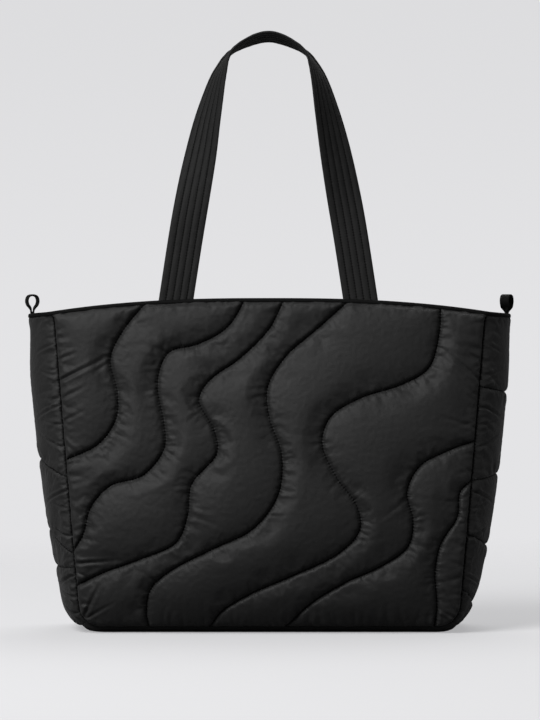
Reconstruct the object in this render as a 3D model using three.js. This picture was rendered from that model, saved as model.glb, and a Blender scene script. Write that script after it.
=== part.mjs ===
import * as THREE from 'three';

// A quilted shopper bag standing on its base with both handles up.
// Millimetres, +Z up, the front panel faces -Y. The origin is on the floor under the bag's middle.

// Mouth and panel outline
const RIM_HEIGHT = 332.7; // top of the binding at the middle of the mouth
const RIM_DROP = 17; // how much lower the mouth is at its side ends
const RIM_DROP_REACH = 240; // distance from the middle at which that drop is reached
const RIM_DROP_POWER = 2.6;
const SEAM_HALF_TOP = 218; // middle to side seam at the mouth
const SEAM_HALF_LOW = 191.5; // middle to side seam just above the lower corners
const SEAM_LOW_HEIGHT = 30.5;
const BASE_SEAM = 4.5; // height of the seam between panels and base
const CORNER_RADIUS = 26; // lower corners of the panels
const GUSSET_FOOT = 10; // height at which gussets and base meet

// Padding
const WALL = 3.2; // shell, wadding and lining pressed together in a seam
const PANEL_PUFF = 11; // how far the padding rises between the quilting lines
const PANEL_REACH = 27; // distance from a line at which it is fully risen
const GUSSET_PUFF = 7.5;
const GUSSET_LINE_SHARE = 0.5; // share of it that is left on the gussets' quilting lines
const GUSSET_REACH = 22;
const PUFF_POWER = 2.3;
const PRESSED_BAND = 6; // strip along the mouth that the binding presses flat
const CLEAR = 0.3; // gap kept between neighbouring pieces

// Binding, handles and loops
const TAPE = 1;
const HEM = 3.6; // how far the binding folds down each side of the wall
const HANDLE_WIDTH = 34;
const HANDLE_THICK = 3.2;
const HANDLE_GROOVE = 0.5; // depth of the stitched grooves between the channels
const HANDLE_CHANNELS = 5;
const HANDLE_SHIFT = -1.2; // the handles stand a little to the left
const BACK_SPREAD = 1.03; // the back handle stands a little wider
const BACK_RISE = 2.5; // and a little taller
const LOOP_TAPE_WIDTH = 10;
const LOOP_TAPE = 1.8;

// Grid
const PANEL_COLUMNS = 40;
const CORNER_ROWS = 4;
const SIDE_ROWS = 25;
const GUSSET_COLUMNS = 8;
const BASE_RUN_ROWS = 8;
const SNAP = 0.5; // share of a cell within which a grid point moves onto a quilting line
const RELAX_PASSES = 3; // the other points then settle evenly between their neighbours

// Half sections of the body by height: depth of the side seams, how far the panel bellies
// past them and how far the gusset swells past them.
const SECTIONS = [
  { height: 4.5, depth: 62, belly: 0, swell: 12 },
  { height: 10, depth: 64, belly: 3, swell: 9.5 },
  { height: 30, depth: 67, belly: 10, swell: 10 },
  { height: 60, depth: 69, belly: 16, swell: 13.5 },
  { height: 105, depth: 69, belly: 20, swell: 18 },
  { height: 150, depth: 66, belly: 20, swell: 20.5 },
  { height: 220, depth: 59, belly: 16, swell: 22 },
  { height: 280, depth: 52, belly: 11, swell: 21.5 },
  { height: 333, depth: 46, belly: 8, swell: 24.5 },
];

// Quilting lines of a panel from their upper to their lower ends: [across, up] of each bend.
const PANEL_LINES = [
  [[-118, 334], [-146, 300], [-158, 273], [-151, 239], [-152, 214], [-169, 189], [-208, 170]],
  [[-22, 336], [-42, 304], [-72, 287], [-100, 279], [-111, 251], [-104, 205], [-104, 185],
    [-125, 158], [-158, 147], [-177, 126], [-185, 98], [-200, 75]],
  [[16, 336], [0, 303], [-30, 273], [-60, 251], [-70, 232], [-55, 203], [-52, 180],
    [-77, 149], [-81, 118], [-92, 92], [-125, 76], [-165, 61], [-197, 45]],
  [[84, 335], [48, 303], [16, 275], [-2, 244], [0, 214], [12, 178], [8, 138], [-17, 105],
    [-55, 86], [-97, 64], [-117, 46], [-122, 24], [-119, 2]],
  [[170, 332], [169, 300], [158, 264], [130, 247], [90, 234], [60, 215], [52, 190], [66, 156],
    [86, 128], [89, 104], [68, 81], [25, 60], [-20, 40], [-47, 23], [-62, 2]],
  [[209, 193], [175, 181], [148, 166], [136, 141], [142, 112], [137, 88], [112, 69],
    [75, 52], [40, 30], [12, 2]],
  [[204, 155], [189, 141], [186, 116], [170, 91], [164, 62], [166, 28], [163, 2]],
];

// Quilting lines across the gussets: height at the panel seams and at the gusset's middle.
const LEFT_LINES = [
  { seam: 156, middle: 174 },
  { seam: 80, middle: 104 },
  { seam: 66, middle: 66 },
];
const RIGHT_LINES = [
  { seam: 245, middle: 241 },
  { seam: 152, middle: 159 },
  { seam: 99, middle: 87 },
  { seam: 44, middle: 28 },
];

// Half of the front handle, from its sewn end to the top of the arch: distance from the bag's
// middle, height, place front to back and turn of the strap about its own length.
const HANDLE_COURSE = [
  { out: 98.2, up: 288, back: -53.2, turn: 0 },
  { out: 92.2, up: 328, back: -45.6, turn: 0 },
  { out: 79.4, up: 410, back: -36, turn: 4 },
  { out: 68.2, up: 470, back: -30, turn: 25 },
  { out: 57.6, up: 521.5, back: -25.5, turn: 48 },
  { out: 47.8, up: 558, back: -22, turn: 70 },
  { out: 38.3, up: 577.5, back: -20, turn: 90 },
  { out: 23.5, up: 588, back: -19, turn: 100 },
  { out: 0, up: 595, back: -18.5, turn: 105 },
];

// Half outline of a loop above the binding: half width and height.
const LOOP_OUTLINE = [
  { half: 1.8, up: 0 },
  { half: 2.9, up: 4.5 },
  { half: 5.6, up: 8.5 },
  { half: 6.5, up: 12.5 },
  { half: 5, up: 16.7 },
  { half: 0, up: 19 },
];
const LEFT_LOOP_TURN = 17;
const RIGHT_LOOP_TURN = 62;

const radians = THREE.MathUtils.degToRad;
const { lerp, smoothstep } = THREE.MathUtils;

function byHeight(column) {
  const heights = SECTIONS.map((row) => row.height);
  const values = SECTIONS.map((row) => row[column]);
  const curve = new THREE.CubicInterpolant(heights, values, 1);
  return (z) => curve.evaluate(z)[0];
}
const seamDepth = byHeight('depth');
const belly = byHeight('belly');
const swell = byHeight('swell');

// Side seam: a leaning straight side and a round lower corner.
const SIDE_SLOPE = (SEAM_HALF_TOP - SEAM_HALF_LOW) / (RIM_HEIGHT - SEAM_LOW_HEIGHT);
const SIDE_LEAN = Math.atan(SIDE_SLOPE);
const CORNER_Z = BASE_SEAM + CORNER_RADIUS;
const CORNER_X = sideLine(CORNER_Z) - CORNER_RADIUS / Math.cos(SIDE_LEAN);
const SEAM_TOP = wallTop(SEAM_HALF_TOP);
const ROWS = seamRows();

function sideLine(z) {
  return SEAM_HALF_LOW + SIDE_SLOPE * (z - SEAM_LOW_HEIGHT);
}

function wallTop(x) {
  const drop = RIM_DROP * (Math.abs(x) / RIM_DROP_REACH) ** RIM_DROP_POWER;
  return RIM_HEIGHT - drop - TAPE - CLEAR;
}

function seamHalf(z) {
  const below = CORNER_Z - z;
  if (below < CORNER_RADIUS * Math.sin(SIDE_LEAN)) return sideLine(z);
  return CORNER_X + Math.sqrt(Math.max(0, CORNER_RADIUS ** 2 - below ** 2));
}

function seamNormal(z) {
  const below = (CORNER_Z - z) / CORNER_RADIUS;
  if (below < Math.sin(SIDE_LEAN)) return { x: Math.cos(SIDE_LEAN), z: -Math.sin(SIDE_LEAN) };
  return { x: Math.sqrt(Math.max(0, 1 - below ** 2)), z: -below };
}

// Heights on the side seam of the grid rows that the panels and gussets share.
function seamRows() {
  const rows = [];
  const arc = Math.PI / 2 - SIDE_LEAN;
  for (let k = 0; k <= CORNER_ROWS; k += 1) {
    rows.push(CORNER_Z - CORNER_RADIUS * Math.cos((arc * k) / CORNER_ROWS));
  }
  const cornerTop = rows[CORNER_ROWS];
  for (let k = 1; k <= SIDE_ROWS; k += 1) {
    rows.push(lerp(cornerTop, SEAM_TOP - PRESSED_BAND, k / SIDE_ROWS));
  }
  rows.push(SEAM_TOP);
  return rows;
}

function puff(distance, reach, height) {
  const t = Math.min(Math.max(distance / reach, 0), 1);
  return height * (1 - (1 - t) ** PUFF_POWER);
}

// Point of a panel in the front view on grid row height `row`, at `depthIn` inside its outer
// skin, where the edge is drawn in to meet the joining strip on a mitre.
function panelSpot(across, row, depthIn) {
  const normal = seamNormal(row);
  const { out, fore } = seamLean(row);
  const inset = CLEAR + (depthIn * out) / (1 + fore);
  const half = seamHalf(row) - inset * normal.x;
  const edge = Math.min(row - inset * normal.z, SEAM_TOP);
  const rise = (row - BASE_SEAM) / (SEAM_TOP - BASE_SEAM);
  const arch = wallTop(across * SEAM_HALF_TOP) - SEAM_TOP;
  return new THREE.Vector3(across * half, 0, edge + rise * arch);
}

function panelDepth(x, z) {
  const share = Math.min(Math.abs(x) / seamHalf(z), 1);
  return seamDepth(z) + belly(z) * (1 - share ** 2);
}

// Distance from a spot to the panel's own seams and to the pressed band at the mouth.
function edgeDistance(spot) {
  const side = seamHalf(spot.z) - Math.abs(spot.x);
  const foot = spot.z - BASE_SEAM;
  const band = wallTop(spot.x) - PRESSED_BAND - spot.z;
  return Math.min(side, foot, band);
}

const quiltingLines = PANEL_LINES.map((bends) => {
  const points = bends.map(([across, up]) => new THREE.Vector3(across, 0, up));
  return new THREE.CatmullRomCurve3(points, false, 'centripetal').getPoints(8 * points.length);
});

function nearestOnQuilting(spot) {
  const piece = new THREE.Line3();
  const foot = new THREE.Vector3();
  const best = { distance: Infinity, at: new THREE.Vector3() };
  for (const line of quiltingLines) {
    for (let k = 1; k < line.length; k += 1) {
      piece.set(line[k - 1], line[k]).closestPointToPoint(spot, true, foot);
      const distance = foot.distanceTo(spot);
      if (distance < best.distance) {
        best.distance = distance;
        best.at.copy(foot);
      }
    }
  }
  return best;
}

// Outer grid of a panel in the front view, with points near a quilting line moved onto it
// and the rest settled between them.
function panelGrid() {
  const width = PANEL_COLUMNS + 1;
  const cell = (SEAM_TOP - CORNER_Z) / SIDE_ROWS;
  const spots = [];
  const onLine = [];
  const free = [];
  ROWS.forEach((row, j) => {
    for (let i = 0; i < width; i += 1) {
      const spot = panelSpot((2 * i) / PANEL_COLUMNS - 1, row, 0);
      const inside = i > 0 && i < PANEL_COLUMNS && j > 0 && j < ROWS.length - 2;
      const near = nearestOnQuilting(spot);
      const here = spots.length;
      const crowded = [here - 1, here - width, here - width - 1, here - width + 1].some(
        (other) => onLine[other] && spots[other].distanceTo(near.at) < 0.35 * cell,
      );
      const snaps = inside && !crowded && near.distance < SNAP * cell && edgeDistance(near.at) > 2;
      spots.push(snaps ? near.at : spot);
      onLine.push(snaps);
      if (inside && !snaps) free.push(here);
    }
  });
  for (let pass = 0; pass < RELAX_PASSES; pass += 1) {
    for (const here of free) {
      const around = [here - 1, here + 1, here - width, here + width];
      const middle = around.reduce((sum, k) => sum.add(spots[k]), new THREE.Vector3());
      spots[here].copy(middle.divideScalar(around.length));
    }
  }
  return { spots, onLine };
}

// A padded wall: a fine outer grid, an inner face on some of its columns and rows, and the
// narrow faces between the two.
function wallGeometry({ columns, rows, outer, inner, innerColumns, innerRows, onLine = [] }) {
  const points = [];
  const index = [];
  const outerAt = (i, j) => j * (columns + 1) + i;
  for (let j = 0; j <= rows; j += 1) {
    for (let i = 0; i <= columns; i += 1) points.push(outer(i, j));
  }
  const innerStart = points.length;
  for (const j of innerRows) {
    for (const i of innerColumns) points.push(inner(i, j));
  }
  const innerAt = (a, b) => innerStart + b * innerColumns.length + a;

  for (let j = 0; j < rows; j += 1) {
    for (let i = 0; i < columns; i += 1) {
      const [a, b] = [outerAt(i, j), outerAt(i + 1, j)];
      const [d, c] = [outerAt(i, j + 1), outerAt(i + 1, j + 1)];
      const shorter = points[a].distanceTo(points[c]) < points[b].distanceTo(points[d]);
      const rising = onLine[a] && onLine[c];
      const falling = onLine[b] && onLine[d];
      const useRising = rising === falling ? shorter : rising;
      if (useRising) index.push(a, b, c, a, c, d);
      else index.push(a, b, d, b, c, d);
    }
  }
  for (let b = 1; b < innerRows.length; b += 1) {
    for (let a = 1; a < innerColumns.length; a += 1) {
      const [p, q] = [innerAt(a - 1, b - 1), innerAt(a, b - 1)];
      const [s, r] = [innerAt(a - 1, b), innerAt(a, b)];
      index.push(p, r, q, p, s, r);
    }
  }

  const lastA = innerColumns.length - 1;
  const lastB = innerRows.length - 1;
  const band = (from, to, outerOf, innerOf) => {
    const start = innerOf(0);
    const end = innerOf(1);
    const step = Math.sign(to - from);
    const middle = from + step * Math.ceil(Math.abs(to - from) / 2);
    for (let k = from; k !== middle; k += step) index.push(outerOf(k), start, outerOf(k + step));
    index.push(outerOf(middle), start, end);
    for (let k = middle; k !== to; k += step) index.push(outerOf(k), end, outerOf(k + step));
  };
  for (let a = 0; a < lastA; a += 1) {
    const [low, high] = [innerColumns[a], innerColumns[a + 1]];
    band(low, high, (k) => outerAt(k, 0), (e) => innerAt(a + e, 0));
    band(high, low, (k) => outerAt(k, rows), (e) => innerAt(a + 1 - e, lastB));
  }
  for (let b = 0; b < lastB; b += 1) {
    const [low, high] = [innerRows[b], innerRows[b + 1]];
    band(low, high, (k) => outerAt(columns, k), (e) => innerAt(lastA, b + e));
    band(high, low, (k) => outerAt(0, k), (e) => innerAt(0, b + 1 - e));
  }
  return solidFrom(points, index);
}

function solidFrom(points, index) {
  const geometry = new THREE.BufferGeometry().setFromPoints(points);
  geometry.setIndex(index);
  geometry.computeVertexNormals();
  return geometry;
}

function everyNth(last, step, first = 0) {
  const picked = [];
  for (let k = first; k < last; k += step) picked.push(k);
  picked.push(last);
  return picked;
}

function panelInner(i, j) {
  const spot = panelSpot((2 * i) / PANEL_COLUMNS - 1, ROWS[j], WALL);
  spot.y = WALL - panelDepth(spot.x, spot.z);
  return spot;
}

function panelGeometry() {
  const rows = ROWS.length - 1;
  const grid = panelGrid();
  const outer = (i, j) => {
    const here = j * (PANEL_COLUMNS + 1) + i;
    const spot = grid.spots[here];
    const onLine = grid.onLine[here] ? 0 : nearestOnQuilting(spot).distance;
    const border = i === 0 || i === PANEL_COLUMNS ? 0 : edgeDistance(spot);
    const rise = puff(Math.min(onLine, border), PANEL_REACH, PANEL_PUFF);
    return new THREE.Vector3(spot.x, -panelDepth(spot.x, spot.z) - rise, spot.z);
  };
  return wallGeometry({
    columns: PANEL_COLUMNS,
    rows,
    outer,
    inner: panelInner,
    innerColumns: everyNth(PANEL_COLUMNS, 4),
    innerRows: [0, 2, ...everyNth(rows, 4, CORNER_ROWS)],
    onLine: grid.onLine,
  });
}

// Direction of the joining strip's skin where it leaves a panel seam: its share outwards and
// its share towards the front or back.
function seamLean(z) {
  const slope = (2 * swell(z)) / (seamDepth(z) - CLEAR);
  return { slope, out: 1 / Math.hypot(1, slope), fore: slope / Math.hypot(1, slope) };
}

// Point of the strip that joins the panels. `across` runs from the front seam (-1) to the back
// seam (1); `depthIn` is the depth inside the outer skin and `rise` lifts the padding.
function stripPoint(x, z, normal, across, depthIn, rise) {
  const depth = seamDepth(z) - CLEAR;
  const { slope, fore } = seamLean(z);
  const share = across * (1 - (depthIn * (1 - fore)) / depth);
  const lean = Math.hypot(1, slope * share);
  const out = swell(z) * (1 - share ** 2) + rise - depthIn / lean;
  const y = share * depth - (depthIn * slope * share) / lean;
  return new THREE.Vector3(x + normal.x * out, y, z + normal.z * out);
}

function gussetGeometry(side, lines) {
  const foot = ROWS.findIndex((row) => row > GUSSET_FOOT);
  const heights = ROWS.slice(foot);
  const rows = heights.length - 1;
  const cell = (SEAM_TOP - CORNER_Z) / SIDE_ROWS;
  const acrossAt = (i) => side * ((2 * i) / GUSSET_COLUMNS - 1);
  const lineHeight = (line, across) => lerp(line.middle, line.seam, across ** 2);
  const place = (across, z, depthIn, rise) => {
    const point = stripPoint(seamHalf(z), z, seamNormal(z), across, depthIn, rise);
    point.x *= side;
    return point;
  };
  const outer = (i, j) => {
    const across = acrossAt(i);
    const inside = i > 0 && i < GUSSET_COLUMNS && j > 0 && j < rows - 1;
    let z = heights[j] + (j === 0 ? CLEAR : 0);
    let rise = 0;
    if (inside) {
      const levels = lines.map((line) => lineHeight(line, across));
      const gaps = levels.map((level) => Math.abs(level - z));
      const nearest = Math.min(...gaps);
      const edge = (1 - Math.abs(across)) * seamDepth(z);
      const ends = Math.min(z - heights[0], heights[rows - 1] - z);
      const snaps = nearest < SNAP * cell && ends > cell;
      const fill = snaps ? 0 : puff(nearest, GUSSET_REACH, 1);
      if (snaps) z = levels[gaps.indexOf(nearest)];
      rise = puff(Math.min(edge, ends), GUSSET_REACH, GUSSET_PUFF) * lerp(GUSSET_LINE_SHARE, 1, fill);
    }
    return place(across, z, 0, rise);
  };
  const inner = (i, j) => {
    const z = heights[j] + (j === 0 ? CLEAR : 0);
    return place(acrossAt(i), z, WALL, 0);
  };
  return wallGeometry({
    columns: GUSSET_COLUMNS,
    rows,
    outer,
    inner,
    innerColumns: everyNth(GUSSET_COLUMNS, 1),
    innerRows: [0, 1, ...everyNth(rows, 4, CORNER_ROWS - foot + 1)],
  });
}

// The base runs from one gusset foot down round the corner, flat along the floor and up again.
function baseGeometry() {
  const foot = ROWS.findIndex((row) => row > GUSSET_FOOT);
  const stations = [];
  for (let j = foot; j >= 0; j -= 1) stations.push({ side: -1, z: ROWS[j], x: seamHalf(ROWS[j]) });
  for (let k = 1; k < BASE_RUN_ROWS; k += 1) {
    stations.push({ side: -1, z: BASE_SEAM, x: CORNER_X * (1 - (2 * k) / BASE_RUN_ROWS) });
  }
  for (let j = 0; j <= foot; j += 1) stations.push({ side: 1, z: ROWS[j], x: seamHalf(ROWS[j]) });
  const place = (i, j, depthIn) => {
    const { side, z, x } = stations[j];
    const across = (2 * i) / GUSSET_COLUMNS - 1;
    const normal = seamNormal(z);
    const point = stripPoint(x, z, normal, across, depthIn, 0);
    point.z = Math.max(point.z, depthIn);
    point.x *= side;
    return point;
  };
  const rows = stations.length - 1;
  return wallGeometry({
    columns: GUSSET_COLUMNS,
    rows,
    outer: (i, j) => place(i, j, 0),
    inner: (i, j) => place(i, j, WALL),
    innerColumns: everyNth(GUSSET_COLUMNS, 1),
    innerRows: everyNth(rows, 1),
  });
}

// A solid carried along frames. Each frame has a place and the directions of the profile's
// two axes; wide x high points along the run.
function sweepGeometry(frames, profile, closed) {
  const points = [];
  const index = [];
  const count = profile.length;
  for (const { at, wide, high } of frames) {
    for (const p of profile) points.push(at.clone().addScaledVector(wide, p.x).addScaledVector(high, p.y));
  }
  const spans = closed ? frames.length : frames.length - 1;
  for (let k = 0; k < spans; k += 1) {
    const here = k * count;
    const next = ((k + 1) % frames.length) * count;
    for (let p = 0; p < count; p += 1) {
      const q = (p + 1) % count;
      index.push(here + p, here + q, next + q, here + p, next + q, next + p);
    }
  }
  if (!closed) {
    const last = (frames.length - 1) * count;
    for (const [a, b, c] of THREE.ShapeUtils.triangulateShape(profile, [])) {
      index.push(a, c, b, last + a, last + b, last + c);
    }
  }
  return solidFrom(points, index);
}

// Middle line of the wall, `below` its top edge, once round the mouth.
function mouthLine(below) {
  const line = [];
  const row = SEAM_TOP - below;
  for (let i = 0; i <= PANEL_COLUMNS; i += 2) {
    const spot = panelSpot((2 * i) / PANEL_COLUMNS - 1, row, WALL / 2);
    spot.y = WALL / 2 - panelDepth(spot.x, spot.z);
    line.push(spot);
  }
  for (let i = 1; i < GUSSET_COLUMNS; i += 1) {
    const across = (2 * i) / GUSSET_COLUMNS - 1;
    line.push(stripPoint(seamHalf(row), row, seamNormal(row), across, WALL / 2, 0));
  }
  const halfTurn = line.map((point) => new THREE.Vector3(-point.x, -point.y, point.z));
  return [...line, ...halfTurn];
}

function bindingGeometry() {
  const line = mouthLine(0);
  const lower = mouthLine(PRESSED_BAND);
  const count = line.length;
  const up = new THREE.Vector3(0, 0, 1);
  const inwardOf = (a, b) => up.clone().cross(b.clone().sub(a).setZ(0).normalize());
  const frames = line.map((at, k) => {
    const before = inwardOf(line[(k + count - 1) % count], at);
    const after = inwardOf(at, line[(k + 1) % count]);
    const wide = before.clone().add(after).normalize();
    wide.divideScalar(wide.dot(after));
    const high = at.clone().sub(lower[k]);
    return { at, wide, high: high.divideScalar(high.z) };
  });
  const half = WALL / 2 + CLEAR;
  const full = half + TAPE;
  const top = CLEAR + TAPE;
  const round = 0.6 * TAPE;
  const profile = [
    [-full, -HEM], [-half, -HEM], [-half, CLEAR], [half, CLEAR], [half, -HEM], [full, -HEM],
    [full, top - round], [full - round, top], [round - full, top], [-full, top - round],
  ].map(([x, y]) => new THREE.Vector2(x, y));
  return sweepGeometry(frames, profile, true);
}

function handleProfile() {
  const spots = [];
  const channel = HANDLE_WIDTH / HANDLE_CHANNELS;
  const crest = HANDLE_THICK / 2;
  const edge = crest - HANDLE_GROOVE;
  spots.push([-HANDLE_WIDTH / 2, -edge]);
  for (let k = 0; k < HANDLE_CHANNELS; k += 1) {
    const start = k * channel - HANDLE_WIDTH / 2;
    spots.push([start + channel / 2, -crest]);
    spots.push([start + channel, -edge]);
  }
  const lower = spots.map(([x, y]) => new THREE.Vector2(x, y));
  const upper = lower.map((p) => new THREE.Vector2(-p.x, -p.y));
  return [...lower, ...upper];
}

function handleGeometry(course) {
  const left = course.map((row) => new THREE.Vector3(HANDLE_SHIFT - row.out, row.back, row.up));
  const rest = course.slice(0, -1).reverse();
  const right = rest.map((row) => new THREE.Vector3(HANDLE_SHIFT + row.out, row.back, row.up));
  const curve = new THREE.CatmullRomCurve3([...left, ...right], false, 'centripetal');
  const spans = 2 * (course.length - 1);
  const steps = 2 * spans;
  const frames = [];
  for (let k = 0; k <= steps; k += 1) {
    const along = Math.min(k, steps - k) / 2;
    const row = Math.floor(along);
    const next = Math.min(row + 1, course.length - 1);
    const turn = radians(lerp(course[row].turn, course[next].turn, along - row));
    const run = curve.getTangent(k / steps);
    const outward = run.clone().cross(new THREE.Vector3(0, 1, 0)).normalize();
    const forward = outward.clone().cross(run).normalize();
    const wide = outward.multiplyScalar(Math.cos(turn)).addScaledVector(forward, Math.sin(turn));
    frames.push({ at: curve.getPoint(k / steps), wide, high: run.clone().cross(wide) });
  }
  return sweepGeometry(frames, handleProfile(), false);
}

function loopGeometry(turn) {
  const right = LOOP_OUTLINE.map((row) => new THREE.Vector2(row.half, row.up));
  const left = right.slice(0, -1).reverse().map((p) => new THREE.Vector2(-p.x, p.y));
  const outline = new THREE.Shape();
  outline.moveTo(-right[0].x, right[0].y);
  outline.lineTo(right[0].x, right[0].y);
  outline.splineThru([...right.slice(1), ...left]);
  const hole = new THREE.Path();
  const inset = right.slice(1).map((p) => new THREE.Vector2(Math.max(p.x - LOOP_TAPE, 0), p.y));
  inset[inset.length - 1].y -= LOOP_TAPE;
  inset[inset.length - 2].y -= 0.7 * LOOP_TAPE;
  const mirrored = inset.slice(0, -1).reverse().map((p) => new THREE.Vector2(-p.x, p.y));
  const tip = new THREE.Vector2(0, right[0].y + LOOP_TAPE);
  hole.moveTo(tip.x, tip.y);
  hole.splineThru([...inset, ...mirrored, tip]);
  outline.holes.push(hole);
  const geometry = new THREE.ExtrudeGeometry(outline, {
    depth: LOOP_TAPE_WIDTH, bevelEnabled: false, curveSegments: 3,
  });
  geometry.translate(0, 0, -LOOP_TAPE_WIDTH / 2);
  geometry.rotateX(Math.PI / 2);
  const spot = geometry.attributes.position;
  const vertical = new THREE.Vector3(0, 0, 1);
  const point = new THREE.Vector3();
  for (let k = 0; k < spot.count; k += 1) {
    point.fromBufferAttribute(spot, k);
    point.applyAxisAngle(vertical, radians(turn) * smoothstep(point.z, 0, 8));
    spot.setXYZ(k, point.x, point.y, point.z);
  }
  geometry.computeVertexNormals();
  return geometry;
}

function fabric(name, color, roughness) {
  const material = new THREE.MeshStandardMaterial({ color, roughness, metalness: 0 });
  material.name = name;
  return material;
}

const group = new THREE.Group();
group.name = 'quilted_shopper_bag';

function addPiece(name, geometry, material) {
  const mesh = new THREE.Mesh(geometry, material);
  mesh.name = name;
  group.add(mesh);
  return mesh;
}

const shell = () => fabric('shell_fabric', 0x232325, 0.62);
const webbing = () => fabric('handle_fabric', 0x1d1d1e, 0.66);
const tape = () => fabric('binding_tape', 0x121213, 0.7);
const loopTape = () => fabric('loop_tape', 0x161617, 0.7);

addPiece('front_panel', panelGeometry(), shell());
addPiece('back_panel', panelGeometry(), shell()).rotation.z = Math.PI;
addPiece('left_gusset', gussetGeometry(-1, LEFT_LINES), shell());
addPiece('right_gusset', gussetGeometry(1, RIGHT_LINES), shell());
addPiece('base_panel', baseGeometry(), shell());
addPiece('top_binding', bindingGeometry(), tape());

const backCourse = HANDLE_COURSE.map((row) => {
  const share = smoothstep(row.up, RIM_HEIGHT, HANDLE_COURSE.at(-1).up);
  const { out, up, back, turn } = row;
  return { out: out * BACK_SPREAD, up: up + share * BACK_RISE, back: -back, turn: -turn };
});
addPiece('front_handle', handleGeometry(HANDLE_COURSE), webbing());
addPiece('back_handle', handleGeometry(backCourse), webbing());

// The loops are sewn into the binding at the side ends of the mouth.
const sideEnd = stripPoint(seamHalf(SEAM_TOP), SEAM_TOP, seamNormal(SEAM_TOP), 0, WALL / 2, 0);
const loopFoot = sideEnd.z + CLEAR + TAPE + CLEAR;
addPiece('left_loop', loopGeometry(LEFT_LOOP_TURN), loopTape()).position.set(-sideEnd.x, 0, loopFoot);
addPiece('right_loop', loopGeometry(RIGHT_LOOP_TURN), loopTape()).position.set(sideEnd.x, 0, loopFoot);

export default group;
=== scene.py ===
"""Looks of a quilted shopper bag: padded walls, binding, handles, loops, stitching and a pale stage.

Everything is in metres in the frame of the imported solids: +Z up, the front panel faces -Y.
"""

import math

import bpy
import numpy as np
from bpy.props import FloatProperty, FloatVectorProperty, IntProperty, PointerProperty
from bpy.types import Operator, Panel, PropertyGroup
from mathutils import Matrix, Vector, noise
from mathutils.geometry import delaunay_2d_cdt


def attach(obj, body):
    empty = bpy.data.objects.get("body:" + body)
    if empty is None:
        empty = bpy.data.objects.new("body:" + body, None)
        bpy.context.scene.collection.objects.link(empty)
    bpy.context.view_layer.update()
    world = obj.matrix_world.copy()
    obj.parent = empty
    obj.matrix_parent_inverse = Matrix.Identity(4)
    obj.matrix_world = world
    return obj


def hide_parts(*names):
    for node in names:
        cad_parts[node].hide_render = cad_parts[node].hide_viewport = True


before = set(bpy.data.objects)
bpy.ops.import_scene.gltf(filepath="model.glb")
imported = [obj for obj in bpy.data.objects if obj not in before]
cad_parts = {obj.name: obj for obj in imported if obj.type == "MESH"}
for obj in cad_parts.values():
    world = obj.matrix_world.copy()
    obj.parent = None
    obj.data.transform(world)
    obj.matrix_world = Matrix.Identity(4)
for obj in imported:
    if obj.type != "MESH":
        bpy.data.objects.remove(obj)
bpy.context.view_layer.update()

bl_info = {
    "name": "Quilted shopper bag",
    "version": (1, 0, 0),
    "blender": (4, 5, 0),
    "location": "View3D > Sidebar > Bag",
    "description": "Dresses the bag's solids with padded cloth, tape, straps and stitching",
    "category": "Object",
}

BODY = "root"

# Mouth and panel outline, as in the solids
RIM_HEIGHT = 0.3327
RIM_DROP = 0.017
RIM_DROP_REACH = 0.24
RIM_DROP_POWER = 2.6
SEAM_HALF_TOP = 0.218
SEAM_HALF_LOW = 0.1915
SEAM_LOW_HEIGHT = 0.0305
BASE_SEAM = 0.0045
CORNER_RADIUS = 0.026
GUSSET_FOOT = 0.011

# Wall and binding: thickness, slant of the lining's edges, height over which the tape finds its
# upright, tape thickness, clearance, and depth to which the tape covers the wall
WALL = 0.0032
MITRE = 0.6
UPRIGHT_BAND = 0.0042
TAPE = 0.001
CLEAR = 0.0003
HEM = 0.0028

# Half sections of the body: height, depth of the side seams, belly of the panel, swell of the gusset
SECTIONS = np.array([
    (0.0045, 0.062, 0.000, 0.0120),
    (0.0100, 0.064, 0.003, 0.0095),
    (0.0300, 0.067, 0.010, 0.0100),
    (0.0600, 0.069, 0.016, 0.0135),
    (0.1050, 0.069, 0.020, 0.0180),
    (0.1500, 0.066, 0.020, 0.0205),
    (0.2200, 0.059, 0.016, 0.0220),
    (0.2800, 0.052, 0.011, 0.0235),
    (0.3330, 0.046, 0.008, 0.0262),
])

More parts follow.
